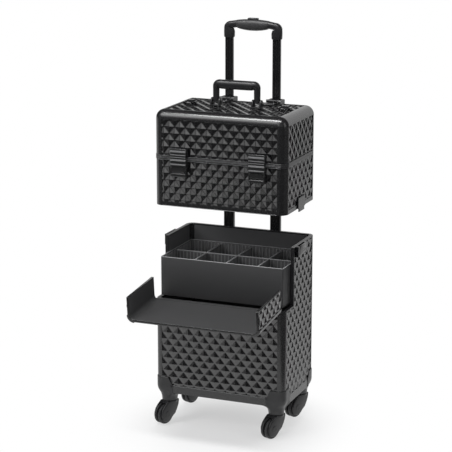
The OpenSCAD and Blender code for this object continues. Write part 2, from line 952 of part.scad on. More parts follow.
leg_w = 16;
leg_r = 8;
ear_t = 4.2;

module handle_mounts() {
    ear_in = leg_w / 2 + move_gap;
    mount_half = ear_in + ear_t + 1;
    base_z = upper_top_z - inset;
    color("#2a2a2c")
        both_sides()
            translate([leg_x, handle_y, 0]) {
                block([-mount_half, -14, base_z], [mount_half, 14, base_z + 3]);
                for (x = [-ear_in - ear_t, ear_in])
                    along_x(x, x + ear_t) {
                        polygon([[-13, base_z + 2], [13, base_z + 2],
                            [7, handle_axis_z + 5], [-7, handle_axis_z + 5]]);
                        translate([0, handle_axis_z]) circle(r = 8.6);
                    }
                translate([0, 0, handle_axis_z])
                    rod_x(-ear_in - 1, ear_in + 1, screw_pin_r);
            }
}

module carry_handle() {
    bar_half = leg_x + leg_w / 2 - hand_bar_r;
    color("#1c1c1e")
        translate([0, handle_y, 0]) difference() {
            union() {
                translate([0, 0, hand_bar_z]) rod_x(-bar_half, bar_half, hand_bar_r);
                both_sides() {
                    translate([bar_half, 0, hand_bar_z]) sphere(r = hand_bar_r);
                    block([leg_x - leg_w / 2, -leg_r, handle_axis_z],
                        [leg_x + leg_w / 2, leg_r, hand_bar_z]);
                    translate([0, 0, handle_axis_z])
                        rod_x(leg_x - leg_w / 2, leg_x + leg_w / 2, leg_r);
                }
            }
            both_sides()
                translate([0, 0, handle_axis_z])
                    rod_x(leg_x - leg_w, leg_x + leg_w, screw_pin_r + pin_play);
        }
}

// ---- Shoulder strap rings ----

module ring_mounts() {
    color("#2a2a2c")
        both_sides()
            translate([ring_x, ring_y, 0]) difference() {
                block([-9, -7, upper_top_z - inset], [9, 7, ring_z + 4.5]);
                translate([0, 0, ring_z]) rod_x(-10, 10, ring_wire_r + pin_play);
            }
}

module strap_ring(x) {
    color("#4a4a4e")
        translate([x, ring_y, ring_z]) {
            rod_x(-ring_r, ring_r, ring_wire_r);
            both_sides()
                translate([ring_r, 0, 0]) {
                    sphere(r = ring_wire_r);
                    rod_y(-10, 0, ring_wire_r);
                }
            translate([0, -10, 0]) intersection() {
                rotate_extrude() translate([ring_r, 0]) circle(r = ring_wire_r, $fn = 24);
                block([-30, -30, -5], [30, 0, 5]);
            }
        }
}

// ---- The model ----

placed() base_frame();
placed() base_board();
placed() corner_brackets();
placed() caster_cups();
placed() lower_front_wall();
placed() lower_side_walls();
placed() lower_rear_wall();
placed() lower_corner_posts();
placed() lower_rim_trim();
placed() box_ledges();
placed() flap_hinge_brackets();
placed() side_latch_bases();
placed() post_outer_tubes();
placed() post_mounts();
placed() flap_panel();
placed() flap_cheeks();
placed() flap_hinge_arms();
placed() flap_strip();
placed() compartment_box();
placed() long_divider();
placed() cross_dividers();
placed() post_inner_tubes();
placed() trolley_grip();
placed() grip_pad();
placed() release_button();
placed() at_caster(-1, -1) caster_fork();  // caster_fork_front_left
placed() at_caster(1, -1) caster_fork();  // caster_fork_front_right
placed() at_caster(-1, 1) caster_fork();  // caster_fork_rear_left
placed() at_caster(1, 1) caster_fork();  // caster_fork_rear_right
placed() at_caster(-1, -1) caster_wheel();  // caster_wheel_front_left
placed() at_caster(1, -1) caster_wheel();  // caster_wheel_front_right
placed() at_caster(-1, 1) caster_wheel();  // caster_wheel_rear_left
placed() at_caster(1, 1) caster_wheel();  // caster_wheel_rear_right
placed() upper_floor();
placed() upper_walls();
placed() upper_back_panel();
placed() upper_frame();
placed() upper_bottom_trim();
placed() upper_rim();
placed() tray_ledges();
placed() lift_tray();
placed() post_sleeves();
placed() latch_bases();
placed() side_keepers();
placed() lid_hinge_base();
placed() lid_top();
placed() lid_walls();
placed() lid_edge_frame();
placed() lid_rim();
placed() lid_hinge_leaf();
placed() latch_catches();
placed() handle_mounts();
placed() ring_mounts();
placed() carry_handle();
placed() latch_lever(-latch_x);  // latch_lever_left
placed() latch_lever(latch_x);  // latch_lever_right
placed() side_latch_lever(-1);  // side_latch_lever_left
placed() side_latch_lever(1);  // side_latch_lever_right
placed() strap_ring(-ring_x);  // strap_ring_left
placed() strap_ring(ring_x);  // strap_ring_right
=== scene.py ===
"""Rolling makeup train case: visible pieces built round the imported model."""
import json
import math

import bmesh
import bpy
from bpy.props import FloatProperty, FloatVectorProperty, PointerProperty
from mathutils import Matrix, Vector


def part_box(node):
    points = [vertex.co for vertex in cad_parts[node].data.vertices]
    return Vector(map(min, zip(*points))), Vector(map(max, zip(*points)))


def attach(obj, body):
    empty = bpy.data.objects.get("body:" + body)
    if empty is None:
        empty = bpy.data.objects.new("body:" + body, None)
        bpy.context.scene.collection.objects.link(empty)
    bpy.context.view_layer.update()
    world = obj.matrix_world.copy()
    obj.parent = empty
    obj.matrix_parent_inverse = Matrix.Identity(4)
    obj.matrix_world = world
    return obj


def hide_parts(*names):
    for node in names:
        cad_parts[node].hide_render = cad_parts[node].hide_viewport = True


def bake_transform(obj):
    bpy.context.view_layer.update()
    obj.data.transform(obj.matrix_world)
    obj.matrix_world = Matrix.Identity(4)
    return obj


bl_info = {
    "name": "Rolling Makeup Train Case",
    "version": (1, 0, 0),
    "blender": (4, 5, 0),
    "location": "3D View > Sidebar > Train Case",
    "description": "Builds the visible pieces of a rolling makeup train case",
    "category": "Add Mesh",
}

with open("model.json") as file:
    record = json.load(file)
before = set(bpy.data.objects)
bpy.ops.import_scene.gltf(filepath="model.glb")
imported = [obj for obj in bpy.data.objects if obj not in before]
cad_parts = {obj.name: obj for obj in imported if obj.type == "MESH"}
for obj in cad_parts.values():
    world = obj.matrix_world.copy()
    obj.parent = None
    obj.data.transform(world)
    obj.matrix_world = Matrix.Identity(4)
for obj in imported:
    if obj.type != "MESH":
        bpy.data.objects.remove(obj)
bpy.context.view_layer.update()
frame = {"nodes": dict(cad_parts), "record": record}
MM = 0.001
NEAR = 1e-6               # places closer than this, in metres, count as one
NO_TURN = Matrix.Identity(4)
FLIP_X = Matrix.Scale(-1, 4, (1, 0, 0))
FLIP_Y = Matrix.Scale(-1, 4, (0, 1, 0))
SIDES = ((-1, "left"), (1, "right"))


def corners(node):
    """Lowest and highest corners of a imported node."""
    return [Vector(corner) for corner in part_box(node)[:2]]


def at(x, y, z):
    """Point given in millimetres from the middle of the front face's foot, in the frame's metres."""
    return Vector((x * MM, y * MM + FRONT, z * MM))


def placed(x, y, z, degrees=0.0, axis="X"):
    """Move that follows a turn about an axis through the origin."""
    return Matrix.Translation((x, y, z)) @ Matrix.Rotation(math.radians(degrees), 4, axis)


def shift(x=0.0, y=0.0, z=0.0):
    """Move as a matrix."""
    return Matrix.Translation((x, y, z))


# Main places, in metres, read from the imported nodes.
FRONT = corners("base_frame")[0].y
HALF_W, REAR, BASE_TOP = corners("base_frame")[1]
FRONT_TOP = corners("lower_front_wall")[1].z + 4 * MM
RIM = corners("lower_rim_trim")[1].z
UPPER_TOP = corners("lid_edge_frame")[1].z
POST_X = 63.3 * MM
POST_Y = REAR + 9 * MM
LOWER_R = 18 * MM         # round corners of the lower and of the upper case
UPPER_R = 22 * MM
WALL_BACK = 8.5 * MM      # the boards' inner faces lie this far behind the profiles' faces
LATCH_X = 102 * MM
UPPER_POINT_Z = 632.5 * MM  # one row of the upper case's studs has its points at this height

# The open flap's own frame: origin on the hinge axis, -Y towards the free edge.
FLAP_DROOP = 5.5
FLAP_OUT = 8 * MM
FLAP_DROP = 10 * MM
FLAP_LEN = 146.5 * MM
FLAP_T = 8.5 * MM
CHEEK_H = 65.5 * MM
IN_FLAP = placed(0, FRONT - FLAP_OUT, FRONT_TOP + 0.5 * MM - FLAP_DROP, FLAP_DROOP)


# ---- Sizes and colours that a user may change ----

class CasePatternSettings(bpy.types.PropertyGroup):
    """Moulded pattern of the boards."""
    stud_width: FloatProperty(name="Stud Width", description="Width of each raised diamond",
                              default=28.2 * MM, min=0.01, unit="LENGTH")
    stud_height: FloatProperty(name="Stud Height", description="Height of each raised diamond",
                               default=33 * MM, min=0.01, unit="LENGTH")
    stud_rise: FloatProperty(name="Stud Rise", description="How far each diamond's point stands out",
                             default=3.0 * MM, min=0.0, unit="LENGTH")
    ridge_width: FloatProperty(name="Ridge Width", description="Width of the worn ridges of each diamond",
                               default=1.3 * MM, min=0.0001, unit="LENGTH")
    sheet_setback: FloatProperty(name="Sheet Setback", description="Depth of the grooves behind the corner profiles",
                                 default=2.0 * MM, min=0.0, unit="LENGTH")


class CaseFinishSettings(bpy.types.PropertyGroup):
    """Colours and gloss of the finishes."""
    board_color: FloatVectorProperty(name="Board Color", description="Colour of the moulded boards",
                                     default=(0.004, 0.004, 0.0045), subtype="COLOR", min=0, max=1)
    profile_color: FloatVectorProperty(name="Profile Color", description="Colour of the corner profiles",
                                       default=(0.013, 0.013, 0.0135), subtype="COLOR", min=0, max=1)
    lining_color: FloatVectorProperty(name="Lining Color", description="Colour of the lining",
                                      default=(0.045, 0.045, 0.046), subtype="COLOR", min=0, max=1)
    box_color: FloatVectorProperty(name="Box Color", description="Colour of the lift-out box",
                                   default=(0.035, 0.035, 0.036), subtype="COLOR", min=0, max=1)
    fitting_color: FloatVectorProperty(name="Fitting Color", description="Colour of latches and handles",
                                       default=(0.014, 0.014, 0.015), subtype="COLOR", min=0, max=1)
    board_roughness: FloatProperty(name="Board Roughness", description="Roughness of the moulded boards",
                                   default=0.13, min=0, max=1, subtype="FACTOR")


class CaseStageSettings(bpy.types.PropertyGroup):
    """Camera and light of the studio."""
    lens: FloatProperty(name="Lens", description="Focal length on a 36 mm wide sensor, in millimetres",
                        default=136.9, min=10)
    turn: FloatProperty(name="Turn", description="Camera's turn about the upright axis",
                        default=math.radians(22.11), unit="ROTATION")
    tilt: FloatProperty(name="Tilt", description="Camera's tilt below level",
                        default=math.radians(13.70), unit="ROTATION")
    fill_strength: FloatProperty(name="Fill Strength", description="Strength of the even light from all round",
                                 default=0.35, min=0)
    floor_glow: FloatProperty(name="Floor Glow", description="Share of plain white in the floor's look",
                              default=0.5, min=0, max=1, subtype="FACTOR")
    key_power: FloatProperty(name="Key Power", description="Power of the large front light in watts",
                             default=34.0, min=0)


# ---- Modelling helpers: places are in metres, widths of roundings in millimetres ----

def deselect():
    """Leaves edit mode and selects nothing."""
    if bpy.context.mode != "OBJECT":
        bpy.ops.object.mode_set(mode="OBJECT")
    bpy.ops.object.select_all(action="DESELECT")


def select_only(piece):
    """Makes a piece the only selected one, and active."""
    deselect()
    piece.select_set(True)
    bpy.context.view_layer.objects.active = piece


def select_mesh():
    """Selects the whole mesh in edit mode."""
    bpy.ops.mesh.select_all(action="SELECT")


def begin(name):
    """Names the primitive just added and opens it in edit mode, all selected."""
    piece = bpy.context.object
    piece.name = piece.data.name = name
    bpy.ops.object.mode_set(mode="EDIT")
    select_mesh()
    return piece


def end():
    """Makes the normals point outwards and leaves edit mode."""
    select_mesh()
    bpy.ops.mesh.normals_make_consistent(inside=False)
    bpy.ops.object.mode_set(mode="OBJECT")


def clear_selection(piece):
    """Gives a piece's edit mesh with nothing selected."""
    mesh = bmesh.from_edit_mesh(piece.data)
    for part in [*mesh.faces, *mesh.edges]:
        part.select_set(False)
    return mesh


def pick_faces(piece, test):
    """Selects the faces whose middle and normal pass a test."""
    mesh = clear_selection(piece)
    mesh.normal_update()
    for face in [f for f in mesh.faces if test(f.calc_center_median(), f.normal)]:
        face.select_set(True)
    bmesh.update_edit_mesh(piece.data)


def pick_edges(piece, test):
    """Selects the edges whose two ends pass a test."""
    mesh = clear_selection(piece)
    for edge in [e for e in mesh.edges if test(e.verts[0].co, e.verts[1].co)]:
        edge.select_set(True)
    mesh.select_flush_mode()
    bmesh.update_edit_mesh(piece.data)


def bevel(width, segments):
    """Rounds the selected edges."""
    bpy.ops.mesh.bevel(offset=width * MM, segments=segments, affect="EDGES")


def round_edges(piece, axis, value, width, segments):
    """Rounds the edges whose two ends lie at a coordinate."""
    pick_edges(piece, lambda a, b: abs(a[axis] - value) < NEAR and abs(b[axis] - value) < NEAR)
    bevel(width, segments)


def extrude(move):
    """Extrudes the selected faces."""
    bpy.ops.mesh.extrude_region_move(TRANSFORM_OT_translate={"value": Vector(move)})


def move_all(piece, place):
    """Moves the whole mesh by a matrix, leaving the object at the origin."""
    piece.data.transform(place)
    piece.data.update()
    return piece


def block(name, low, high, round_by=0.0, steps=2, place=NO_TURN):
    """Box between two corners with rounded edges."""
    low, high = Vector(low), Vector(high)
    deselect()
    bpy.ops.mesh.primitive_cube_add(size=1)
    piece = begin(name)
    bpy.ops.transform.resize(value=high - low)
    bpy.ops.transform.translate(value=(low + high) / 2)
    if round_by:
        bevel(round_by, steps)
    end()
    return move_all(piece, place)


def open_ring(name, points, fill="NGON"):
    """Opens a new face, or a bare ring of edges, through the given points in edit mode."""
    deselect()
    bpy.ops.mesh.primitive_circle_add(vertices=len(points), fill_type=fill)
    for vertex, point in zip(bpy.context.object.data.vertices, points):
        vertex.co = point
    return begin(name)


def outline_solid(name, points, push, round_by=0.0, steps=2):
    """Solid pushed out from a flat outline."""
    piece = open_ring(name, points)
    extrude(push)
    select_mesh()
    bpy.ops.mesh.normals_make_consistent(inside=False)
    if round_by:
        bevel(round_by, steps)
    end()
    return piece


def lofted(name, rings):
    """Solid pushed out from a first ring of points through the following rings, each with as many points."""
    piece = open_ring(name, rings[0])
    for ring, following in zip(rings, rings[1:]):
        extrude((0, 0, 0))
        mesh = bmesh.from_edit_mesh(piece.data)
        cap = [f for f in mesh.faces if f.select][0]
        for vertex in cap.verts:
            nearest = min(range(len(ring)), key=lambda i: (vertex.co - Vector(ring[i])).length)
            vertex.co = following[nearest]
        bmesh.update_edit_mesh(piece.data)
    end()
    return piece


def both_sides(rings):
    """Rings of the right half and their mirror images; the last ring lies in the middle."""
    return rings + [[Vector((-p.x, p.y, p.z)) for p in ring] for ring in reversed(rings[:-1])]


def oval(centre, half_a, half_b, axis_a, axis_b, power, steps=32):
    """Ring of points round a centre, squarer as the power grows."""
    ring = []
    for i in range(steps):
        angle = 2 * math.pi * i / steps
        c, s = math.cos(angle), math.sin(angle)
        a = half_a * math.copysign(abs(c) ** (2 / power), c)
        b = half_b * math.copysign(abs(s) ** (2 / power), s)
        ring.append(Vector(centre) + Vector(axis_a) * a + Vector(axis_b) * b)
    return ring


def arc(centre, radius, start, stop, steps, axis="Y"):
    """Points of an arc in the XZ plane (axis Y) or the YZ plane (axis X), angles from the first axis up."""
    points = []
    for i in range(steps + 1):
        angle = math.radians(start + (stop - start) * i / steps)
        across, up = radius * math.cos(angle), radius * math.sin(angle)
        points.append(Vector(centre) + Vector((across, 0, up) if axis == "Y" else (0, across, up)))
    return points


def turned(name, profile, steps=48, place=NO_TURN):
    """Solid spun about Z from a profile of (radius, height) points in millimetres."""
    piece = open_ring(name, [(radius * MM, 0, height * MM) for radius, height in profile], "NOTHING")
    bpy.ops.mesh.spin(steps=steps, angle=2 * math.pi, center=(0, 0, 0), axis=(0, 0, 1))
    select_mesh()
    bpy.ops.mesh.remove_doubles(threshold=1e-6)
    bpy.ops.mesh.delete_loose()
    end()
    return move_all(piece, place)


def rod(name, radius, low, high, steps, place):
    """Plain round bar about Z between two heights in millimetres."""
    return turned(name, [(0, low), (radius, low), (radius, high), (0, high)], steps, place)


def cut_away(piece, tool):
    """Cuts one solid out of another and removes the tool."""
    select_only(piece)
    cut = piece.modifiers.new("cut", "BOOLEAN")
    cut.operation = "DIFFERENCE"
    cut.solver = "EXACT"
    cut.object = tool
    bpy.ops.object.modifier_apply(modifier="cut")
    bpy.data.objects.remove(tool)


def copies(piece, places):
    """Replaces a mesh by copies of itself, one for each matrix."""
    result = bmesh.new()
    for place in places:
        mesh = piece.data.copy()
        mesh.transform(place)
        if place.determinant() < 0:
            mesh.flip_normals()
        result.from_mesh(mesh)
        bpy.data.meshes.remove(mesh)
    result.to_mesh(piece.data)
    result.free()
    return piece


def mirrored(piece):
    """Adds the left-hand copy of a right-hand mesh."""
    return copies(piece, [NO_TURN, FLIP_X])


def copied(model, name, place):
    """Copy of a whole piece under its own name, moved by a matrix."""
    piece = model.copy()
    piece.data = model.data.copy()
    piece.name = piece.data.name = name
    bpy.context.collection.objects.link(piece)
    return move_all(piece, place)


def joined(name, pieces):
    """Joins pieces into one, which takes the given name."""
    select_only(pieces[0])
    for piece in pieces:
        piece.select_set(True)
    bpy.ops.object.join()
    pieces[0].name = pieces[0].data.name = name
    return pieces[0]


def smooth(piece, angle=35):
    """Smooth shading with edges kept sharp beyond an angle."""
    select_only(piece)
    bpy.ops.object.shade_smooth_by_angle(angle=math.radians(angle))
    return piece


def paint(piece, names, choose):
    """Gives a piece several finishes, and each face the number of its own from its middle and normal."""
    looks = finishes()
    for name in names:
        piece.data.materials.append(looks[name])
    for face in piece.data.polygons:
        face.material_index = int(choose(face.center, face.normal))


def finish_piece(piece, finish, body, slot, nodes=()):
    """Gives a piece its finish and its body, and hides the nodes it stands for; the slot is not used."""
    if not piece.data.materials:
        piece.data.materials.append(finishes()[finish])
    if body:
        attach(piece, body)
    if nodes:
        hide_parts(*nodes)
    return piece


# ---- Finishes ----

def add_node(tree, kind, inputs=(), **settings):
    """Adds a shader node with its settings; each input gets a number, a colour or another node's output."""
    node = tree.nodes.new("ShaderNode" + kind)
    for name, value in settings.items():
        setattr(node, name, value)
    for socket, value in dict(inputs).items():
        if isinstance(value, bpy.types.NodeSocket):
            tree.links.new(value, node.inputs[socket])
        else:
            node.inputs[socket].default_value = value
    return node


def maths(tree, operation, *values):
    """Adds a maths node fed by sockets or numbers and gives its output."""
    return add_node(tree, "Math", enumerate(values), operation=operation).outputs[0]


def soft_step(tree, value, start, stop, low=0.0, high=1.0):
    """Adds a soft step of a value from one limit to another and gives its output."""
    return add_node(tree, "MapRange", {"Value": value, "From Min": start, "From Max": stop, "To Min": low,
                                       "To Max": high}, interpolation_type="SMOOTHSTEP").outputs[0]


def mixed(tree, share, first, second, end_node):
    """Mixes two shaders and feeds them to the tree's output."""
    mix = add_node(tree, "MixShader", {0: share, 1: first.outputs[0], 2: second.outputs[0]})
    tree.links.new(mix.outputs[0], tree.nodes[end_node].inputs["Surface"])


def moulded_surface_group():
    """Node group: colour mottling, gloss variation and fine grain of moulded plastic."""
    name = "Moulded Surface"
    if name in bpy.data.node_groups:
        return bpy.data.node_groups[name]
    group = bpy.data.node_groups.new(name, "ShaderNodeTree")
    for label, kind, default in (("Color", "Color", (0.04, 0.04, 0.04, 1)), ("Mottle", "Float", 0.1),
                                 ("Roughness", "Float", 0.4), ("Gloss Variation", "Float", 0.08),
                                 ("Grain Scale", "Float", 900.0)):
        socket = group.interface.new_socket(name=label, in_out="INPUT", socket_type="NodeSocket" + kind)
        socket.default_value = default
    for label, kind in (("Color", "Color"), ("Roughness", "Float"), ("Height", "Float")):
        group.interface.new_socket(name=label, in_out="OUTPUT", socket_type="NodeSocket" + kind)
    start = group.nodes.new("NodeGroupInput").outputs
    out = group.nodes.new("NodeGroupOutput").inputs
    place = add_node(group, "TexCoord").outputs["Object"]
    cloud = add_node(group, "TexNoise", {"Vector": place, "Scale": 14, "Detail": 4})
    grain = add_node(group, "TexNoise", {"Vector": place, "Scale": start["Grain Scale"], "Detail": 2})
    centred = maths(group, "SUBTRACT", cloud.outputs["Fac"], 0.5)
    mottle = maths(group, "MULTIPLY_ADD", centred, start["Mottle"], 1.0)
    tint = add_node(group, "VectorMath", {0: start["Color"], "Scale": mottle}, operation="SCALE")
    gloss = maths(group, "MULTIPLY_ADD", centred, start["Gloss Variation"], start["Roughness"])
    for label, source in (("Color", tint.outputs[0]), ("Roughness", gloss), ("Height", grain.outputs["Fac"])):
        group.links.new(source, out[label])
    return group


def moulded(name, color, roughness, mottle=0.25, variation=0.1, grain=900.0, bump=0.04, metallic=0.0, ior=1.5):
    """Material of moulded plastic, rubber or painted metal."""
    if name in bpy.data.materials:
        return bpy.data.materials[name]
    material = bpy.data.materials.new(name)
    material.use_nodes = True
    tree = material.node_tree
    surface = add_node(tree, "Group", node_tree=moulded_surface_group())
    for label, value in (("Color", (*color, 1)), ("Mottle", mottle), ("Roughness", roughness),
                         ("Gloss Variation", variation), ("Grain Scale", grain)):
        surface.inputs[label].default_value = value
    dent = add_node(tree, "Bump", {"Strength": bump, "Distance": 0.0005, "Height": surface.outputs["Height"]})
    shader = tree.nodes["Principled BSDF"].inputs
    tree.links.new(surface.outputs["Color"], shader["Base Color"])
    tree.links.new(surface.outputs["Roughness"], shader["Roughness"])
    tree.links.new(dent.outputs["Normal"], shader["Normal"])
    shader["Metallic"].default_value = metallic
    shader["IOR"].default_value = ior
    return material


def finishes():
    """All finishes by name; the numbers are roughness, mottling, gloss variation, grain and its depth."""
    look = bpy.context.scene.train_case_finish
    return {
        "panel": moulded("Moulded Board", look.board_color, look.board_roughness, 0.3, 0.06, 700, 0.03, ior=2.0),
        "profile": moulded("Satin Profile", look.profile_color, 0.24, 0.12, 0.05, 1200, 0.02, ior=1.7),
        "lining": moulded("Matt Lining", look.lining_color, 0.62, 0.12, 0.06, 1500, 0.12),
        "box": moulded("Box Plastic", look.box_color, 0.55, 0.12, 0.06, 1300, 0.08),
        # edge: painted highlight, pale lines on rib fronts and profile beads standing in for light caught along edges
        "edge": moulded("Pale Worn Edge", (0.16, 0.16, 0.162), 0.4, 0.2, 0.06, 1200, 0.05),
        # inner: the lining's plastic painted lighter, painted light that lifts the shade inside the case and the box
        "inner": moulded("Inner Lining", (0.1, 0.1, 0.102), 0.62, 0.12, 0.06, 1500, 0.12),
        # rim: painted highlight along the rounded top edges of the box and its dividers
        "rim": moulded("Pale Rim", (0.34, 0.34, 0.345), 0.4, 0.15, 0.06, 1200, 0.05),
        # rib: the box's plastic painted lighter on its ribs, painted light against the shade inside the box
        "rib": moulded("Ribbed Wall", (0.2, 0.2, 0.202), 0.5, 0.15, 0.06, 1200, 0.05),
        "hardware": moulded("Black Fittings", look.fitting_color, 0.34, 0.25, 0.1, 1100, 0.05),
        "latch": moulded("Latch Plastic", (0.012, 0.012, 0.0125), 0.28, 0.2, 0.08, 1100, 0.04, ior=1.7),
        "satin": moulded("Bracket Plastic", (0.022, 0.022, 0.023), 0.34, 0.15, 0.06, 900, 0.05),
        "gloss": moulded("Gloss Black", (0.008, 0.008, 0.009), 0.22, 0.2, 0.08, 1100, 0.04),
        "tube": moulded("Painted Tube", (0.006, 0.006, 0.0065), 0.17, 0.2, 0.05, 1500, 0.02, ior=1.8),
        "steel": moulded("Brushed Steel", (0.45, 0.45, 0.46), 0.35, 0.2, 0.12, 500, 0.05, 1.0),
        "wheel": moulded("Wheel Rubber", (0.022, 0.022, 0.023), 0.55, 0.25, 0.08, 1400, 0.12),
        "soft_grip": moulded("Soft Grip", (0.03, 0.03, 0.031), 0.45, 0.15, 0.06, 1800, 0.1),
        "strip": moulded("Flexible Strip", look.lining_color, 0.6, 0.15, 0.06, 1500, 0.12),
    }


# ---- Boards with the raised diamond pattern ----

# Turns from a board's own XY plane, studs on +Z, to a face that looks to the front, rear, right or down.
UP_FRONT = Matrix(((1, 0, 0, 0), (0, 0, -1, 0), (0, 1, 0, 0), (0, 0, 0, 1)))
UP_REAR = Matrix(((-1, 0, 0, 0), (0, 0, 1, 0), (0, 1, 0, 0), (0, 0, 0, 1)))
UP_RIGHT = Matrix(((0, 0, 1, 0), (1, 0, 0, 0), (0, 1, 0, 0), (0, 0, 0, 1)))
FACE_DOWN = Matrix(((1, 0, 0, 0), (0, -1, 0, 0), (0, 0, -1, 0), (0, 0, 0, 1)))


def slice_mesh(place, normal, drop=False):
    """Cuts the whole mesh along a plane, and can drop what lies beyond it."""
    select_mesh()
    bpy.ops.mesh.bisect(plane_co=place, plane_no=normal, clear_outer=drop)


def board(name, low, high, place, body, nodes=(), thick=None, cut=None, point=None, plain=None):
    """Board drawn in its own XY plane between two corners, studs on its +Z side, with an optional
    corner (x, y) beyond which it is cut away towards -X and +Y, the place of one stud's point,
    and an oblong (x0, y0, x1, y1) that is left plain."""
    pattern = bpy.context.scene.train_case_pattern
    wide, tall, setback = pattern.stud_width, pattern.stud_height, pattern.sheet_setback
    cells = 2 * math.ceil(max((high[0] - low[0]) / wide + (high[1] - low[1]) / tall, 2) / 2) + 4
    deselect()
    bpy.ops.mesh.primitive_grid_add(x_subdivisions=cells, y_subdivisions=cells, size=cells)
    piece = begin(name)
    bpy.ops.transform.rotate(value=math.pi / 4, orient_axis="Z", center_override=(0, 0, 0))
    bpy.ops.transform.resize(value=(wide / math.sqrt(2), tall / math.sqrt(2), 1), center_override=(0, 0, 0))
    bpy.ops.mesh.poke(offset=pattern.stud_rise)
    pick_edges(piece, lambda a, b: max(a.z, b.z) > pattern.stud_rise / 2)
    bpy.ops.mesh.bevel(offset=pattern.ridge_width / 2, segments=1, affect="EDGES")
    select_mesh()
    middle = Vector(((low[0] + high[0]) / 2, (low[1] + high[1]) / 2, 0))
    if point is not None:
        steps_x = round((middle.x - point[0]) / wide)
        steps_y = round((middle.y - point[1]) / tall)
        middle = Vector((point[0] + (steps_x + 0.5) * wide, point[1] + steps_y * tall, 0))
    bpy.ops.transform.translate(value=middle)
    for corner, way in ((low, -1), (high, 1)):
        slice_mesh((*corner, 0), (way, 0, 0), True)
        slice_mesh((*corner, 0), (0, way, 0), True)
    if cut:
        slice_mesh((cut[0], 0, 0), (-1, 0, 0))
        slice_mesh((0, cut[1], 0), (0, 1, 0))
        pick_faces(piece, lambda middle, _: middle.x < cut[0] and middle.y > cut[1])
        bpy.ops.mesh.delete(type="FACE")
    if plain:
        x0, y0, x1, y1 = plain
        for spot in ((x0, y0, 0), (x1, y1, 0)):
            slice_mesh(spot, (1, 0, 0))
            slice_mesh(spot, (0, 1, 0))
        select_mesh()
        bpy.ops.mesh.quads_convert_to_tris()
        pick_faces(piece, lambda middle, _: x0 < middle.x < x1 and y0 < middle.y < y1)
        bpy.ops.transform.resize(value=(1, 1, 0), center_override=(0, 0, 0))
    select_mesh()
    extrude((0, 0, -1))
    bpy.ops.transform.resize(value=(1, 1, 0), center_override=(0, 0, 0))
    bpy.ops.transform.translate(value=(0, 0, -(thick or WALL_BACK - setback)))
    bpy.ops.mesh.dissolve_limited(angle_limit=0.01)
    end()
    # Faces that do not look out take the inner finish: lining painted lighter, painted light against the shade inside
    # the case.
    paint(piece, ("panel", "inner"), lambda middle, normal: normal.z < 0.5)
    move_all(piece, place @ shift(z=-setback))
    return finish_piece(piece, "panel", body, "panel", nodes)


class CASE_OT_lower_boards(bpy.types.Operator):
    """Adds the lower case's studded boards"""
    bl_idname = "train_case.lower_boards"
    bl_label = "Lower Case Boards"

    def execute(self, context):
        half = HALF_W - LOWER_R
        low_z, high_z = BASE_TOP, RIM - 3 * MM
        cut_y, cut_z = FRONT + 69 * MM, FRONT_TOP - 4 * MM
        board("front_board", (-half, low_z), (half, cut_z), shift(y=FRONT) @ UP_FRONT, "lower_case",
              ["lower_front_wall"], point=(-68.3 * MM, 225 * MM))
        side = board("side_boards", (FRONT + LOWER_R, low_z), (REAR - LOWER_R, high_z), shift(x=HALF_W) @ UP_RIGHT,
                     "lower_case", ["lower_side_walls"], cut=(cut_y, cut_z),
                     plain=(FRONT + 83 * MM, 456 * MM, FRONT + 135 * MM, RIM))
        mirrored(side)
        board("rear_board", (-half, low_z), (half, high_z), shift(y=REAR) @ UP_REAR, "lower_case",
              ["lower_rear_wall"])
        return {"FINISHED"}


class CASE_OT_upper_boards(bpy.types.Operator):
    """Adds the upper case's and the lid's studded boards"""
    bl_idname = "train_case.upper_boards"
    bl_label = "Upper Case Boards"

    def execute(self, context):
        half = HALF_W - UPPER_R
        for name, node, body in (("upper", "upper_walls", "upper_case"), ("lid", "lid_walls", "lid")):
            low, high = corners(node)
            rear = high.y if name == "lid" else REAR - UPPER_R
            board(f"{name}_front_board", (-half, low.z), (half, high.z), shift(y=FRONT) @ UP_FRONT, body, [node],
                  point=(-17.6 * MM, UPPER_POINT_Z))
            side = board(f"{name}_side_boards", (FRONT + UPPER_R, low.z), (rear, high.z), shift(x=HALF_W) @ UP_RIGHT,
                         body, point=(FRONT + 109 * MM, UPPER_POINT_Z))
            mirrored(side)
        low, high = corners("upper_back_panel")
        board("upper_rear_board", (low.x, low.z), (high.x, high.z), shift(y=REAR) @ UP_REAR, "upper_case",
              ["upper_back_panel"], point=(0, UPPER_POINT_Z))
        low, high = corners("lid_top")
        board("lid_top_board", (low.x, low.y), (high.x, high.y), shift(z=UPPER_TOP), "lid", ["lid_top"])
        return {"FINISHED"}


# ---- Flap ----

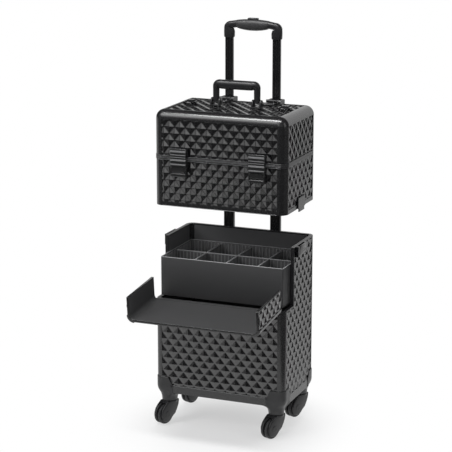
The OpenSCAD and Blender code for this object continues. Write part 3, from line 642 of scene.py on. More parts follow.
class CASE_OT_flap(bpy.types.Operator):
    """Adds the drop-front flap, its studded boards and the flexible strip behind it"""
    bl_idname = "train_case.flap"
    bl_label = "Flap"

    def execute(self, context):
        setback = context.scene.train_case_pattern.sheet_setback
        near, far = -FLAP_DROP, -FLAP_DROP - FLAP_LEN + 0.3 * MM
        top, bend_x, bend_z = FLAP_OUT + CHEEK_H, HALF_W - LOWER_R, FLAP_OUT + LOWER_R
        bend, out_x = (bend_x, near, bend_z), HALF_W - setback
        half = [Vector((HALF_W - FLAP_T, near, top))] + arc(bend, LOWER_R - FLAP_T, 0, -90, 10)
        rim = [Vector((bend_x, near, FLAP_OUT + setback))] + arc(bend, LOWER_R, -90, 0, 12)
        rim += [Vector((out_x, near, bend_z)), Vector((out_x, near, top))]

        def flip(points):
            """The same points on the other side, in the opposite order."""
            return [Vector((-p.x, p.y, p.z)) for p in reversed(points)]

        sheet = outline_solid("flap_sheet", half + flip(half) + flip(rim) + rim, (0, far - near, 0))
        bpy.ops.object.mode_set(mode="EDIT")
        round_edges(sheet, 1, far, 0.9, 3)
        pick_edges(sheet, lambda a, b: abs(a.z - top) < NEAR and abs(b.z - top) < NEAR and abs(a.x - b.x) < NEAR)
        bevel(1.2, 2)
        end()
        paint(sheet, ("profile", "lining"),
              lambda middle, normal: abs(middle.x) < HALF_W - FLAP_T + 0.2 * MM and abs(normal.y) < 0.5
              and middle.z > FLAP_OUT + FLAP_T - 0.2 * MM)
        move_all(sheet, IN_FLAP)
        finish_piece(smooth(sheet, 30), "profile", "flap", "lining", ["flap_panel", "flap_cheeks"])

        board("flap_underside", (-bend_x + 0.3 * MM, -near + 0.5 * MM), (bend_x - 0.3 * MM, -far - 4 * MM),
              IN_FLAP @ shift(z=FLAP_OUT + 0.2 * MM) @ FACE_DOWN, "flap", thick=1.5 * MM)
        cheeks = board("flap_cheek_boards", (far + 4 * MM, bend_z + 0.3 * MM), (near - 0.5 * MM, top - 2.5 * MM),
                       IN_FLAP @ shift(x=out_x + 1.8 * MM) @ UP_RIGHT, "flap", thick=1.5 * MM)
        mirrored(cheeks)

        crest = []
        for i in range(25):
            y = 8 - 30.5 * i / 24
            t = min(max((0.5 - y) / 19.5, 0), 1)
            lift = t * t * (3 - 2 * t)
            crest.append((y, 328.1 + lift * (333.55 + 0.096 * (y + 19.5) - 328.1)))
        under = [(y, z - 1.1) for y, z in reversed(crest)]
        strip = outline_solid("flap_strip_sheet", [at(-161.5, y, z) for y, z in crest + under], (323 * MM, 0, 0))
        finish_piece(smooth(strip, 40), "strip", None, "strip", ["flap_strip"])
        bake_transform(strip)
        return {"FINISHED"}


# ---- Compartment box ----

def rounded_oblong(x0, y0, x1, y1, z, corner, steps=6):
    """Points of an upright box's outline with round corners."""
    points = []
    for cx, cy, start in ((x1 - corner, y1 - corner, 0), (x0 + corner, y1 - corner, 90),
                          (x0 + corner, y0 + corner, 180), (x1 - corner, y0 + corner, 270)):
        for i in range(steps + 1):
            angle = math.radians(start + 90 * i / steps)
            points.append((cx + corner * math.cos(angle), cy + corner * math.sin(angle), z))
    return points


def slot_ribs(name, spots, low_z, high_z, width, proud):
    """Upright ribs on a wall's faces, one at each (x, y, turned) spot."""
    rib = block(name, (-width / 2, -proud, low_z), (width / 2, proud, high_z), 0.5, 1)
    return copies(rib, [placed(x, y, 0, 90 if side else 0, "Z") for x, y, side in spots])


def divider(name, low, high, spots):
    """One thin wall of the box with ribs on both faces and a rounded top edge; the pale top edge is a painted
    highlight, and the wall and ribs are painted lighter as painted light against the shade inside the box.
    """
    thin = 1 if high.x - low.x > high.y - low.y else 0
    plate = block(name, low, high, 0.25, 1)
    bead_low, bead_high = Vector(low), Vector(high)
    bead_low[thin] -= 0.9 * MM
    bead_high[thin] += 0.9 * MM
    bead_low.z = high.z - 2.4 * MM
    bead_high.z = high.z + 0.5 * MM
    bead = block("bead", bead_low, bead_high, 1.2, 3)
    ribs = slot_ribs("ribs", spots, low.z, high.z - 3 * MM, 2.6 * MM, 1.5 * MM)
    piece = joined(name, [plate, ribs, bead])
    centre = (low[thin] + high[thin]) / 2
    # Top edge: painted highlight; ribs and wall: plastic painted lighter against the shade inside the box.
    paint(piece, ("inner", "rim", "rib"), lambda middle, normal: 1 if middle.z > high.z - 1.6 * MM
          else 2 if abs(middle[thin] - centre) > 0.9 * MM else 0)
    return piece


class CASE_OT_compartment_box(bpy.types.Operator):
    """Adds the lift-out box with its slotted walls and its dividers"""
    bl_idname = "train_case.compartment_box"
    bl_label = "Compartment Box"

    def execute(self, context):
        low, high = corners("compartment_box")
        wall, base, pitch = 2.5 * MM, 3 * MM, 9.4 * MM
        box = outline_solid("box_walls", rounded_oblong(low.x, low.y, high.x, high.y, low.z, 4 * MM),
                            (0, 0, high.z - low.z))
        bpy.ops.object.mode_set(mode="EDIT")
        pick_faces(box, lambda middle, normal: normal.z > 0.9)
        bpy.ops.mesh.inset(thickness=wall)
        extrude((0, 0, low.z + base - high.z))
        round_edges(box, 2, high.z, 1.0, 2)
        round_edges(box, 2, low.z, 1.2, 2)
        end()
        centre = (low.y + high.y) / 2
        columns = [i * pitch for i in range(-16, 17)]
        rows = [(i, centre + i * pitch) for i in range(-9, 10)]
        spots = [(x, y, False) for x in columns for y in (low.y + wall, high.y - wall)]
        spots += [(x, y, True) for _, y in rows for x in (low.x + wall, high.x - wall)]
        ribs = slot_ribs("box_ribs", spots, low.z + base, high.z - 3.5 * MM, 2.8 * MM, 1.6 * MM)
        # The ribs take the rib finish, painted lighter as painted light against the shade inside the box.
        finish_piece(smooth(ribs), "rib", "compartment_box", "box")

        def look(middle, normal):
            """Painted highlight on the top edge, the inside painted lighter as painted light against its shade,
            plastic outside.
            """
            if middle.z > high.z - 1.1 * MM and normal.z > 0.2:
                return 1
            inside = all(low[i] + MM < middle[i] < high[i] - MM for i in (0, 1)) and middle.z > low.z + MM
            return 2 if inside else 0

        paint(box, ("box", "rim", "inner"), look)
        finish_piece(smooth(box), "box", "compartment_box", "box", ["compartment_box"])

        cross_low, cross_high = corners("cross_dividers")
        half = 0.8 * MM
        places = [cross_low.x + half + i * 84 * MM for i in range(3)]
        spots = [(x, centre, False) for x in columns if min(abs(x - place) for place in places) > 3 * MM]
        piece = divider("long_wall", *corners("long_divider"), spots)
        finish_piece(smooth(piece), "box", "compartment_box", "box", ["long_divider"])
        piece = divider("cross_walls", Vector((-half, *cross_low.yz)), Vector((half, *cross_high.yz)),
                        [(0, y, True) for i, y in rows if i])
        copies(piece, [shift(x) for x in places])
        finish_piece(smooth(piece), "box", "compartment_box", "box", ["cross_dividers"])
        return {"FINISHED"}


# ---- Latches ----

class CASE_OT_front_latches(bpy.types.Operator):
    """Adds the two front latches"""
    bl_idname = "train_case.front_latches"
    bl_label = "Front Latches"

    def execute(self, context):
        made = [block("latch_plate", at(-21.4, -12, 667), at(21.4, -8.6, 713.8), 1.3, 3)]
        for low_z, high_z in ((704.5, 709.5), (697.2, 699.4), (691.5, 693.2), (683.2, 688.0), (673.0, 676.6)):
            made.append(block("rib", at(-20.6, -13, low_z), at(20.6, -11.4, high_z), 0.75, 2))
        made.append(rod("barrel", 4, -16.6, 16.6, 32, placed(*at(0, -8, 658), 90, "Y")))
        made.append(block("tongue", at(-16.4, -12, 658), at(16.4, -8.6, 670), 0.3, 1))
        lever = joined("latch_lever", made)
        # The ribs' front faces take the pale edge finish, a painted highlight along each rib.
        paint(lever, ("latch", "edge"), lambda middle, normal: middle.y < FRONT - 12.55 * MM and normal.y < -0.3)
        smooth(lever)
        for side, word in SIDES:
            piece = copied(lever, f"front_latch_{word}", shift(side * LATCH_X))
            finish_piece(piece, "latch", f"latch_lever_{word}", "hardware", [f"latch_lever_{word}"])
        bpy.data.objects.remove(lever)

        made = [block("backing", at(-20.8, -3, 646), at(20.8, 0.4, 681.2), 1.0, 2),
                block("skirt", at(-21.4, -11.8, 643.6), at(21.4, -2.6, 653.0), 2.4, 3)]
        for x in (-19.2, 19.2):
            made.append(block("cheek", at(x - 1.9, -11.8, 650), at(x + 1.9, -2.8, 666), 1.2, 2))
        base = smooth(joined("latch_base", made))
        copies(base, [shift(-LATCH_X), shift(LATCH_X)])
        finish_piece(base, "latch", "upper_case", "hardware", ["latch_bases"])
        return {"FINISHED"}


class CASE_OT_side_latches(bpy.types.Operator):
    """Adds the side latches that hold the stacked cases together"""
    bl_idname = "train_case.side_latches"
    bl_label = "Side Latches"

    def execute(self, context):
        near, far = HALF_W + 4.2 * MM, HALF_W + 7.5 * MM
        for side, word in SIDES:
            node = f"side_latch_lever_{word}"
            low, high = corners(node)
            y, half = (low.y + high.y) / 2, (high.y - low.y) / 2
            made = [block("lever", (near, y - half, low.z + 2 * MM), (far, y + half, high.z), 1.4, 3),
                    rod("barrel", 3, -half / MM, half / MM, 24, placed(HALF_W + 4.5 * MM, y, low.z + 3 * MM, 90))]
            for z in (6, 9, 12):
                made.append(block("rib", (far - 0.6 * MM, y - half + 3 * MM, low.z + z * MM),
                                  (far + 0.4 * MM, y + half - 3 * MM, low.z + (z + 1.4) * MM), 0.4, 1))
            lever = smooth(joined(f"side_latch_{word}", made))
            if side < 0:
                copies(lever, [FLIP_X])
            finish_piece(lever, "gloss", node, "hardware", [node])
        return {"FINISHED"}


# ---- Corner brackets, base strip, trim lines and screws ----

CASTER_IN_X, CASTER_IN_Y = 28 * MM, 24 * MM   # caster axis from the side and from the end
BRACKET_SPAN = 20 * MM                        # the bracket's upper part ends this far behind the axis
NECK = 19.4 * MM
# Heights in millimetres, with the funnel's radius and with the share of the way from the neck to the corner.
FLARE = [(59.9, 19.4), (66, 20.2), (70, 21.4), (73.5, 23), (76.5, 25.2), (79.2, 28.5), (81.4, 33), (82.8, 38.5),
         (83.2, 42)]
TAPER = [(59.9, 0.0), (66, 0.05), (70, 0.1), (75, 0.2), (79, 0.34), (83, 0.55), (87, 0.76), (91, 0.9), (96, 0.98),
         (100, 1.0)]


def ease(t):
    """Soft step from 0 to 1."""
    t = min(max(t, 0), 1)
    return t * t * (3 - 2 * t)


def read_off(table, z):
    """Value at a height from (height, value) pairs, with straight lines between them."""
    for (z0, v0), (z1, v1) in zip(table, table[1:]):
        if z <= z1:
            return v0 + (v1 - v0) * max(z - z0, 0) / (z1 - z0)
    return table[-1][1]


def corner_reach(angle, proud):
    """Distance from the caster's axis to the front right corner's outer face, at an angle."""
    dx, dy = math.cos(angle), math.sin(angle)
    reach = 44 * MM
    if dx > NEAR:
        reach = min(reach, (CASTER_IN_X + proud) / dx)
    if dy < -NEAR:
        reach = min(reach, (CASTER_IN_Y + proud) / -dy)
    cx, cy = CASTER_IN_X - LOWER_R, LOWER_R - CASTER_IN_Y
    if reach * dx > cx and reach * dy < cy:
        along = dx * cx + dy * cy
        reach = along + math.sqrt(along ** 2 - cx ** 2 - cy ** 2 + (LOWER_R + proud) ** 2)
    return reach


def bracket_radius(angle, z, upper, proud=1.5 * MM):
    """Radius of the bracket about the caster's axis at an angle and a height in millimetres; its part
    above the strip's underside is upper, and ends where the bracket ends on both faces."""
    degrees = math.degrees(angle)
    out = min(max((degrees + 122) / 34, 0), 1) * min(max((32 - degrees) / 34, 0), 1)
    out = out * out * (3 - 2 * out)
    reach = corner_reach(angle, proud)
    slow = NECK + (reach - NECK) * read_off(TAPER, z)
    if upper:
        fast = reach
        if math.cos(angle) < 0:
            fast = min(fast, BRACKET_SPAN / -math.cos(angle))
        if math.sin(angle) > 0:
            fast = min(fast, BRACKET_SPAN / math.sin(angle))
    else:
        fast = min(read_off(FLARE, z) * MM, corner_reach(angle, 0))
    return out * slow + (1 - out) * fast


class CASE_OT_base_strip(bpy.types.Operator):
    """Adds the strip round the base, which narrows at the corners under the brackets"""
    bl_idname = "train_case.base_strip"
    bl_label = "Base Strip"

    def execute(self, context):
        start, stop = math.atan2(-CASTER_IN_Y, -BRACKET_SPAN), math.atan2(BRACKET_SPAN, CASTER_IN_X)
        deep = REAR - FRONT
        rings = []
        for z in (83, 86, 90, 95, 100, 103):
            corner = []
            for i in range(25):
                angle = start + (stop - start) * i / 24
                radius = corner_reach(angle, 0)
                if 0 < i < 24:
                    radius = min(bracket_radius(angle, z, True) - 1.7 * MM, radius)
                corner.append((HALF_W - CASTER_IN_X + radius * math.cos(angle),
                               CASTER_IN_Y + radius * math.sin(angle)))
            right = corner + [(x, deep - y) for x, y in reversed(corner)]
            rings.append([(x, FRONT + y, z * MM) for x, y in right + [(-x, y) for x, y in reversed(right)]])
        strip = lofted("base_strip", rings)
        bpy.ops.object.mode_set(mode="EDIT")
        pick_faces(strip, lambda middle, normal: normal.z < -0.9 and middle.z < 83.1 * MM)
        bpy.ops.mesh.inset(thickness=5 * MM)
        extrude((0, 0, 10 * MM))
        end()
        finish_piece(smooth(strip, 30), "profile", "lower_case", "profile", ["base_frame"])
        return {"FINISHED"}


class CASE_OT_corner_brackets(bpy.types.Operator):
    """Adds the brackets that wrap the lower corners and carry the casters"""
    bl_idname = "train_case.corner_brackets"
    bl_label = "Corner Brackets"

    def execute(self, context):
        corner_x, corner_y = HALF_W - LOWER_R, FRONT + LOWER_R
        proud, low_z, top_z = 1.5 * MM, 99 * MM, 124 * MM
        reach_x, reach_y = 30 * MM, 26 * MM
        path = []                                      # (place on the outer face, outward way, top's height)

        def top_at(along, reach):
            """Height of the bracket's S-shaped top edge at a distance from the round corner."""
            return top_z + (BASE_TOP - top_z) * ease((along - reach * 0.5) / (reach * 0.5))

        for i in range(13):
            along = reach_x * (1 - i / 12)
            path.append(((corner_x - along, corner_y - LOWER_R), (0, -1), top_at(along, reach_x)))
        for i in range(1, 12):
            angle = math.radians(-90 + 90 * i / 12)
            way = (math.cos(angle), math.sin(angle))
            path.append(((corner_x + LOWER_R * way[0], corner_y + LOWER_R * way[1]), way, top_z))
        for i in range(13):
            along = reach_y * i / 12
            path.append(((corner_x + LOWER_R, corner_y + along), (1, 0), top_at(along, reach_y)))
        rings = []
        for (x, y), way, height in path:
            inner, outer, crest = ((x + way[0] * out, y + way[1] * out) for out in (-0.4 * MM, proud, proud - MM))
            rings.append([(*inner, low_z), (*outer, low_z), (*outer, height - MM), (*crest, height),
                          (*inner, height)])
        wrap = lofted("bracket_wrap", rings)
        angles = [math.tau * i / 72 for i in range(72)]
        angles = [a - math.tau if a > math.pi else a for a in angles]
        rings = []
        for z, upper in [(z, False) for z, _ in FLARE] + [(z, True) for z in (83.25, 86, 90, 95, 99, 103)]:
            radii = [bracket_radius(a, z, upper) for a in angles]
            rings.append([(HALF_W - CASTER_IN_X + r * math.cos(a), FRONT + CASTER_IN_Y + r * math.sin(a), z * MM)
                          for a, r in zip(angles, radii)])
        funnel = lofted("funnel", rings)
        cut_away(funnel, rod("bore", 5.4, 50, 84, 24, shift(HALF_W - CASTER_IN_X, FRONT + CASTER_IN_Y)))
        bracket = smooth(joined("corner_bracket", [wrap, funnel]))
        turn = shift(y=FRONT + REAR) @ FLIP_Y
        copies(bracket, [NO_TURN, FLIP_X, turn, turn @ FLIP_X])
        finish_piece(bracket, "satin", "lower_case", "hardware", ["corner_brackets"])
        return {"FINISHED"}


class CASE_OT_trim_lines(bpy.types.Operator):
    """Adds the beads that line the profiles, their pale colour a painted highlight along the profile edges, and the
    screw heads
    """
    bl_idname = "train_case.trim_lines"
    bl_label = "Trim Lines and Screws"

    def execute(self, context):
        lower = [(-142, -0.35, 102.2, 142, 1.5, 103.6)]
        for side in (-1, 1):
            for x0, x1, *rest in ((172.3, 171, 50, 102.2, 170, 103.6), (164.6, 163.6, 68, 473.2, 205, 474.3)):
                x0, x1 = sorted((side * x0, side * x1))
                lower.append((x0, rest[0], rest[1], x1, rest[2], rest[3]))
        lower.append((-160, 209.2, 473.2, 160, 210.2, 474.3))
        upper = [(-160, -1.25, z - 0.35, 160, 0, z + 0.35) for z in (682.4, 686.2)]
        upper.append((-150, -0.35, 567.2, 150, 1.2, 568.4))
        lid = [(-160, -1.25, z - 0.35, 160, 0, z + 0.35) for z in (689.0, 692.4)]
        for name, beads, body in (("lower", lower, "lower_case"), ("upper", upper, "upper_case"), ("lid", lid, "lid")):
            made = [block("bead", at(*bead[:3]), at(*bead[3:]), 0.35, 1) for bead in beads]
            # Each bead takes the pale edge finish, a painted highlight line.
            finish_piece(smooth(joined(f"{name}_trim_lines", made)), "edge", body, "profile")

        head = [(0, 0), (2.6, 0)]
        leaf_low = corners("lid_hinge_leaf")[0]
        spots = [(side * POST_X + dx * MM, leaf_low.y + dy * MM)
                 for side in (-1, 1) for dx in (-9.5, 9.5) for dy in (8, 22)]
        screws = turned("lid_screws", head + [(2.3, 0.7), (1.0, 1.1), (0.8, 0.5), (0, 0.5)], 16)
        copies(screws, [shift(x, y, UPPER_TOP - 0.5 * MM + 2.3 * MM) for x, y in spots])
        finish_piece(smooth(screws), "steel", "lid", "hardware")
        spots = [(side * 63.3 + dx, z) for side in (-1, 1) for dx in (-15.9, 15.9) for z in (112, 131, 439, 459)]
        screws = turned("post_screws", head + [(2.1, 0.5), (0.9, 0.8), (0.7, 0.4), (0, 0.4)], 16)
        copies(screws, [placed(*at(x, 238, z), -90) for x, z in spots])
        finish_piece(smooth(screws), "steel", "lower_case", "hardware")
        return {"FINISHED"}


# ---- Carry handle, trolley grip and posts ----

def bend_rings(centre, outer, steps, size):
    """Centre, outward way and half thickness of the rings round a bend, from upright to level."""
    for i in steps:
        turn = math.radians(90 * i / 8)
        half = size(i)
        way = Vector((math.cos(turn), 0, math.sin(turn)))
        yield centre + way * (outer - half), way, half


class CASE_OT_carry_handle(bpy.types.Operator):
    """Adds the carry handle and its brackets"""
    bl_idname = "train_case.carry_handle"
    bl_label = "Carry Handle"

    def execute(self, context):
        low, high = corners("carry_handle")
        y, top = (low.y + high.y) / 2, high.z
        leg_x, foot = high.x - 8 * MM, low.z + 8 * MM
        outer = 17 * MM
        centre = Vector((high.x - outer, y, top - outer))
        rings = []

        def ring(place, across, half_a, half_b):
            """Adds one ring of the loop."""
            rings.append(oval(place, half_a, half_b, across, (0, 1, 0), 2.3))

        for z, half_a, half_b in ((foot, 7.8, 7.8), (foot + 12 * MM, 7.8, 7.6), (centre.z - 6 * MM, 7.9, 7.8)):
            ring((leg_x, y, z), (1, 0, 0), half_a * MM, half_b * MM)
        for place, way, half in bend_rings(centre, outer, range(9), lambda i: (8.0 + 2.9 * i / 8) * MM):
            ring(place, way, half, half * 1.02 + 0.2 * MM)
        for x, half in ((40, 11.3), (30, 11.5), (14, 11.5), (0, 11.5)):
            ring((x * MM, y, top - 11.5 * MM + (11.5 - half) * 0.4 * MM), (0, 0, 1), half * MM, half * MM)
        handle = smooth(lofted("hand_loop", both_sides(rings)), 50)
        finish_piece(handle, "hardware", "carry_handle", "hardware", ["carry_handle"])

        base = corners("handle_mounts")[0].z
        made = []
        for x0, x1 in ((-12.6, -8.4), (8.4, 12.6)):
            outline = [(x0 * MM, y - 13 * MM, base), (x0 * MM, y + 13 * MM, base)]
            outline += [tuple(p) for p in arc((x0 * MM, y, foot), 8.6 * MM, 15, 165, 12, "X")]
            made.append(outline_solid("ear", outline, ((x1 - x0) * MM, 0, 0), 0.9, 2))
        made.append(block("foot", (-13.4 * MM, y - 14 * MM, base), (13.4 * MM, y + 14 * MM, base + 3 * MM), 1.2))
        for side in (-1, 1):
            made.append(turned("pin_head", [(0, 0), (3.4, 0), (3.2, 0.8), (1.8, 1.3), (0, 1.4)], 20,
                               placed(side * 12.4 * MM, y, foot, side * 90, "Y")))
        for dy in (-10.5, 10.5):
            made.append(turned("rivet", [(0, 0), (2.2, 0), (1.9, 0.8), (0, 1.2)], 16,
                               shift(0, y + dy * MM, base + 2.8 * MM)))
        mount = smooth(joined("handle_bracket", made))
        copies(mount, [shift(-leg_x), shift(leg_x)])
        finish_piece(mount, "hardware", "lid", "hardware", ["handle_mounts"])
        return {"FINISHED"}


class CASE_OT_trolley_grip(bpy.types.Operator):
    """Adds the trolley grip, its sleeve and its button"""
    bl_idname = "train_case.trolley_grip"
    bl_label = "Trolley Grip"

    def execute(self, context):
        low, high = corners("trolley_grip")
        foot, half_w, y = low.z, high.x, POST_Y
        top = corners("grip_pad")[1].z - 0.6 * MM
        rise, outer = 10 * MM, 18 * MM
        radius = (half_w * half_w + rise * rise) / (2 * rise)

        def crown(x):
            """Height of the bowed top at one place."""
            return top - radius + math.sqrt(radius * radius - x * x)

        rings = []

        def ring(place, across, half_a, half_b, power):
            """Adds one ring of the loop."""
            rings.append(oval(place, half_a, half_b, across, (0, 1, 0), power, 36))

        for up, half_a, half_b, power in ((0, 12.6, 9.0, 3.4), (3, 13.1, 9.5, 3.4), (14, 13.6, 9.8, 3.0)):
            ring((POST_X, y, foot + up * MM), (1, 0, 0), half_a * MM, half_b * MM, power)
        centre = Vector((half_w - outer, y, crown(half_w - outer) - outer))
        for place, way, half in bend_rings(centre, outer, range(1, 9), lambda i: (13.2 - 4.0 * i / 8) * MM):
            ring(place, way, half, 9.8 * MM, 2.6)
        half = 9.2 * MM
        for x in (50, 42, 0):
            ring((x * MM, y, crown(x * MM) - half), (0, 0, 1), half, 9.7 * MM, 2.4)
        grip = smooth(lofted("grip_loop", both_sides(rings)), 60)
        finish_piece(grip, "hardware", "trolley_handle", "hardware", ["trolley_grip"])

        rings = []
        for x, drop, depth in ((42, 18.6, 10.2), (40, 20.6, 11.0), (34, 23.2, 11.8), (24, 26.0, 12.3),
                               (10, 28.2, 12.4), (0, 28.5, 12.4)):
            middle = crown(x * MM) + 0.5 * MM - drop * MM / 2
            rings.append(oval((x * MM, y, middle), drop * MM / 2, depth * MM, (0, 0, 1), (0, 1, 0), 2.3, 40))
        sleeve = smooth(lofted("grip_sleeve", both_sides(rings)), 50)
        finish_piece(sleeve, "soft_grip", "trolley_handle", "soft_grip", ["grip_pad"])

        button = smooth(block("push_button", *corners("release_button"), 1.6, 3))
        finish_piece(button, "hardware", "release_button", "hardware", ["release_button"])
        return {"FINISHED"}


def tube_outline(half_a, half_b, corner, grooves=(), groove_w=0.0, groove_d=0.0):
    """Rounded section of a tube with grooves along its front and rear faces."""
    points = []
    for sx, sy, start in ((1, 1, 0), (-1, 1, 90), (-1, -1, 180), (1, -1, 270)):
        for i in range(6):
            angle = math.radians(start + 90 * i / 5)
            points.append((sx * (half_a - corner) + corner * math.cos(angle),
                           sy * (half_b - corner) + corner * math.sin(angle)))
        if start in (0, 180):
            way = 1 if start == 0 else -1
            for x in sorted(grooves, reverse=True):
                for dx, dy in ((groove_w, 0), (groove_w * 0.6, groove_d), (-groove_w * 0.6, groove_d), (-groove_w, 0)):
                    points.append((way * (x + dx), way * (half_b - dy)))
    return points


class CASE_OT_posts(bpy.types.Operator):
    """Adds the telescopic posts"""
    bl_idname = "train_case.posts"
    bl_label = "Posts"

    def execute(self, context):
        for name, node, body, half_a, half_b, corner, grooves, groove_w, wall in (
                ("inner_posts", "post_inner_tubes", "trolley_handle", 10.5, 6, 3.4, (-0.0042, 0.0018), 1.7, 1.2),
                ("outer_posts", "post_outer_tubes", "lower_case", 13.75, 8, 4.8, (-0.0056, 0.0030), 1.8, 1.5)):
            half_a, half_b, corner, wall = (size * MM for size in (half_a, half_b, corner, wall))
            low, high = corners(node)
            section = tube_outline(half_a, half_b, corner, grooves, groove_w * MM, 0.7 * MM)
            tube = outline_solid(name, [(x + POST_X, y + POST_Y, low.z) for x, y in section],
                                 (0, 0, high.z - low.z), 0.3, 1)
            inner = tube_outline(half_a - wall, half_b - wall, corner - wall * 0.8)
            bore = outline_solid("bore", [(x + POST_X, y + POST_Y, low.z - 2 * MM) for x, y in inner],
                                 (0, 0, high.z - low.z + 4 * MM))
            cut_away(tube, bore)
            mirrored(smooth(tube, 30))
            finish_piece(tube, "tube", body, "tube", [node])
        return {"FINISHED"}


# ---- Casters ----

def caster_place(end, side):
    """Moves a shape drawn about a swivel axis, trailing along +X, to one caster."""
    y = FRONT + CASTER_IN_Y if end == "front" else REAR - CASTER_IN_Y
    return placed(side * 144 * MM, y, 0, -110, "Z")


class CASE_OT_casters(bpy.types.Operator):
    """Adds the four swivel casters"""
    bl_idname = "train_case.casters"
    bl_label = "Casters"

    def execute(self, context):
        axle_x, axle_z, hood_top = 22.5, 26, 58.4      # millimetres

        def on_axle(degrees, axis, y=0.0):
            """Turn about the wheel's axle, then the move onto it."""
            return placed(axle_x * MM, y * MM, axle_z * MM, degrees, axis)

        outline = [(-19.2, hood_top), (-19.2, 52), (-17.5, 44), (-13, 34), (-6, 22.5)]
        for i in range(11):
            angle = math.radians(215 + (375 - 215) * i / 10)
            outline.append((axle_x + 21.0 * math.cos(angle), axle_z + 1.0 + 21.0 * math.sin(angle)))
        outline += [(38.5, 42), (30, 50.5), (19.2, hood_top)]
        hood = outline_solid("caster_hood", [(x * MM, -14.8 * MM, z * MM) for x, z in outline], (0, 29.6 * MM, 0),
                             2.6, 3)
        cut_away(hood, rod("slot", 27.4, -10.7, 10.7, 56, on_axle(90, "X")))
        cut_away(hood, block("gap", (axle_x * MM, -10.7 * MM, -5 * MM), (60 * MM, 10.7 * MM, 53.5 * MM)))
        cap = [(0, 52.5), (18.6, 52.5), (19.3, 54), (19.3, 57.6), (18.5, hood_top), (0, hood_top)]
        stem_foot = hood_top - 1
        stem = [(0, stem_foot), (4.9, stem_foot), (4.9, 74), (4.4, 74.5), (0, 74.5)]
        made = [hood, turned("hood_cap", cap, 48), turned("stem", stem, 20),
                rod("axle", 3, -15, 15, 20, on_axle(90, "X"))]
        for side in (-1, 1):
            made.append(turned("axle_cap", [(0, 0), (8.4, 0), (8.1, 0.5), (6.6, 0.9), (6.2, 0.6), (0, 0.6)], 32,
                               on_axle(-side * 90, "X", side * 14.6)))
        fork = smooth(joined("caster_hood", made), 32)
        profile = [(3.1, -10), (8.6, -10), (9.4, -8.8), (18.2, -8.8), (19.2, -9.8), (24.2, -9.8), (25.6, -8.7),
                   (26, -7.0), (26, -4.4), (25.4, -3.0), (24.2, -2.4), (14.5, -2.4)]
        profile += [(radius, -height) for radius, height in reversed(profile)]
        made = [turned("caster_tyre", profile, 64, on_axle(90, "X"))]
        made += [block("rib", (9 * MM, y - 0.3 * MM, -1 * MM), (18.8 * MM, y + 0.7 * MM, 1 * MM), 0.2, 1,
                       on_axle(i * 60, "Y")) for i in range(6) for y in (-9.2 * MM, 8.8 * MM)]
        wheel = smooth(joined("caster_tyre", made), 32)
        for end_word in ("front", "rear"):
            for side, word in SIDES:
                for model, node, body, look in ((fork, "caster_fork", "caster", "hardware"),
                                                (wheel, "caster_wheel", "wheel", "wheel")):
                    ending = f"_{end_word}_{word}"
                    piece = copied(model, model.name + ending, caster_place(end_word, side))
                    finish_piece(piece, look, body + ending, look, [node + ending])
        for model in (fork, wheel):
            bpy.data.objects.remove(model)
        return {"FINISHED"}


# ---- Stage ----

STUDIO_CARDS = (
    # soft round cards: turn, rise, inner and outer radius in degrees, strength
    (180, 4, 18, 36, 1.0),
    (-4, 15, 8, 11.5, 1.25),
    (-45, 0, 6, 9.5, 0.85),
    (-42, 42, 9, 15, 3.0),
    (30, 6, 14, 26, 0.2),
    (-20, 48, 16, 30, 1.5),
)
DARK_LEVEL = 0.03         # what shows in reflections where there is no card
LIGHTS = (
    # name, place, aim, width and height in metres, watts, and whether it shows in reflections
    ("key_light", (-1.9, -2.2, 2.4), (0, 0, 0.5), (1.6, 1.6), None, False),
    ("top_light", (-0.1, -0.75, 2.6), (0, 0, 0.8), (1.5, 0.3), 36, True),
    ("right_light", (2.6, -0.4, 1.5), (0, 0, 0.55), (0.8, 1.8), 6, True),
    ("front_light", (0.9, -3.2, 1.5), (0, 0, 0.5), (1.2, 1.2), 12, False),
    ("rear_light", (-1.2, 2.4, 2.0), (0, 0, 0.6), (1.6, 1.2), 16, False),
)
CAMERA_PLACE = (1.54487, -3.75516 + FRONT, 1.51807)


def paper_sweep(glow):
    """White paper floor that keeps soft shadows and shows white in reflections as far as it reaches in front."""
    paper = bpy.data.materials.new("White Paper")
    paper.use_nodes = True
    tree = paper.node_tree
    tree.nodes.remove(tree.nodes["Principled BSDF"])
    rays = add_node(tree, "LightPath").outputs
    place = add_node(tree, "TexCoord").outputs["Object"]
    length = add_node(tree, "VectorMath", {0: place}, operation="LENGTH").outputs["Value"]
    x, y, _ = add_node(tree, "SeparateXYZ", {0: place}).outputs
    front = soft_step(tree, y, -0.95, -0.70, 0.06, 0.8)
    behind = maths(tree, "MULTIPLY", maths(tree, "MAXIMUM", y, 0), 0.5)
    side = soft_step(tree, maths(tree, "SUBTRACT", x, behind), 0.42, 0.6, 1.0, 0.12)
    seen = maths(tree, "MAXIMUM", rays["Is Camera Ray"], rays["Is Transmission Ray"])
    strength = maths(tree, "MAXIMUM", maths(tree, "MULTIPLY", front, side), seen)
    share = maths(tree, "MULTIPLY", soft_step(tree, length, 0.1, 0.36, glow), seen)
    share = maths(tree, "MAXIMUM", share, rays["Is Glossy Ray"])
    matt = add_node(tree, "BsdfDiffuse", {"Color": (0.92, 0.92, 0.92, 1)})
    mixed(tree, share, matt, add_node(tree, "Emission", {"Strength": strength}), "Material Output")
    return paper


def add_card(tree, way, turn, rise, inner, outer, strength, total):
    """Adds one card to what shows in reflections, at a turn from straight ahead and a rise."""
    turn, rise = math.radians(turn), math.radians(rise)
    aim = (math.sin(turn) * math.cos(rise), -math.cos(turn) * math.cos(rise), math.sin(rise))
    near = add_node(tree, "VectorMath", {0: way, 1: aim}, operation="DOT_PRODUCT").outputs["Value"]
    level = soft_step(tree, near, math.cos(math.radians(outer)), math.cos(math.radians(inner)), high=strength)
    return maths(tree, "ADD", level, total)


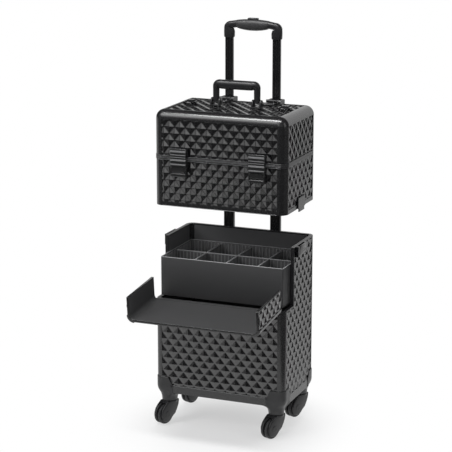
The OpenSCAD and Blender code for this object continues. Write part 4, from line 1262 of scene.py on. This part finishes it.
class CASE_OT_stage(bpy.types.Operator):
    """Adds the floor, the lights, the world and the camera"""
    bl_idname = "train_case.stage"
    bl_label = "Stage"

    def execute(self, context):
        scene, settings = context.scene, context.scene.train_case_stage
        scene.world = bpy.data.worlds.new("Studio")
        scene.world.use_nodes = True
        tree = scene.world.node_tree
        fill = tree.nodes["Background"]
        fill.inputs["Color"].default_value = (0.8, 0.82, 0.85, 1)
        fill.inputs["Strength"].default_value = settings.fill_strength
        rays = add_node(tree, "LightPath").outputs
        way = add_node(tree, "TexCoord").outputs["Generated"]
        shine = DARK_LEVEL
        for card in STUDIO_CARDS:
            shine = add_card(tree, way, *card, shine)
        plain = maths(tree, "MAXIMUM", rays["Is Camera Ray"], rays["Is Transmission Ray"])
        seen = add_node(tree, "MixRGB", {"Fac": plain, "Color1": shine, "Color2": (1, 1, 1, 1)}).outputs[0]
        share = maths(tree, "MAXIMUM", plain, rays["Is Glossy Ray"])
        mixed(tree, share, fill, add_node(tree, "Background", {"Color": seen}), "World Output")

        deselect()
        bpy.ops.mesh.primitive_plane_add(size=40)
        floor = begin("floor")
        bpy.ops.mesh.subdivide(number_cuts=4)
        end()
        floor.data.materials.append(paper_sweep(settings.floor_glow))

        for name, place, aim, size, power, reflected in LIGHTS:
            light = bpy.data.lights.new(name, "AREA")
            light.shape = "RECTANGLE"
            light.size, light.size_y = size
            light.energy = settings.key_power if power is None else power
            lamp = bpy.data.objects.new(name, light)
            context.collection.objects.link(lamp)
            lamp.location = place
            lamp.rotation_euler = (Vector(aim) - Vector(place)).to_track_quat("-Z", "Y").to_euler()
            lamp.visible_glossy = reflected

        lens = bpy.data.cameras.new("camera")
        lens.lens = settings.lens
        lens.sensor_width = 36
        lens.clip_end = 50
        scene.camera = bpy.data.objects.new("camera", lens)
        context.collection.objects.link(scene.camera)
        scene.camera.location = CAMERA_PLACE
        scene.camera.rotation_euler = (math.pi / 2 - settings.tilt, 0, settings.turn)
        scene.view_settings.view_transform = "Standard"
        return {"FINISHED"}


NODE_LOOKS = {"side_keepers": "gloss", "side_latch_bases": "gloss", "upper_rim": "satin", "lid_rim": "satin"}


class CASE_OT_node_finishes(bpy.types.Operator):
    """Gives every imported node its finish"""
    bl_idname = "train_case.node_finishes"
    bl_label = "Node Finishes"

    def execute(self, context):
        looks = finishes()
        for part in frame["record"]["subparts"]:
            node = frame["nodes"][part["node"]]
            node.data.materials.clear()
            node.data.materials.append(looks[NODE_LOOKS.get(part["node"], part["material_slot"])])
        return {"FINISHED"}


SETTINGS = {"train_case_pattern": CasePatternSettings, "train_case_finish": CaseFinishSettings,
            "train_case_stage": CaseStageSettings}
STEPS = [CASE_OT_stage, CASE_OT_node_finishes, CASE_OT_lower_boards, CASE_OT_upper_boards, CASE_OT_flap,
         CASE_OT_compartment_box, CASE_OT_front_latches, CASE_OT_side_latches, CASE_OT_corner_brackets,
         CASE_OT_base_strip, CASE_OT_trim_lines, CASE_OT_carry_handle, CASE_OT_trolley_grip, CASE_OT_posts,
         CASE_OT_casters]


class CASE_PT_panel(bpy.types.Panel):
    """Lists the pieces and their settings"""
    bl_idname = "CASE_PT_panel"
    bl_label = "Train Case"
    bl_space_type = "VIEW_3D"
    bl_region_type = "UI"
    bl_category = "Train Case"

    def draw(self, context):
        column = self.layout.column()
        for group, settings in SETTINGS.items():
            for name in settings.__annotations__:
                column.prop(getattr(context.scene, group), name)
        for step in STEPS:
            column.operator(step.bl_idname)


CLASSES = [*SETTINGS.values(), *STEPS, CASE_PT_panel]


def register():
    """Registers the settings, the operators and the panel."""
    for cls in CLASSES:
        bpy.utils.register_class(cls)
    for group, settings in SETTINGS.items():
        setattr(bpy.types.Scene, group, PointerProperty(type=settings))


def unregister():
    """Removes what register added."""
    for group in SETTINGS:
        delattr(bpy.types.Scene, group)
    for cls in reversed(CLASSES):
        bpy.utils.unregister_class(cls)


def main():
    """Builds everything."""
    register()
    for step in STEPS:
        group, name = step.bl_idname.split(".")
        getattr(getattr(bpy.ops, group), name)()
    deselect()


if __name__ == "__main__":
    main()
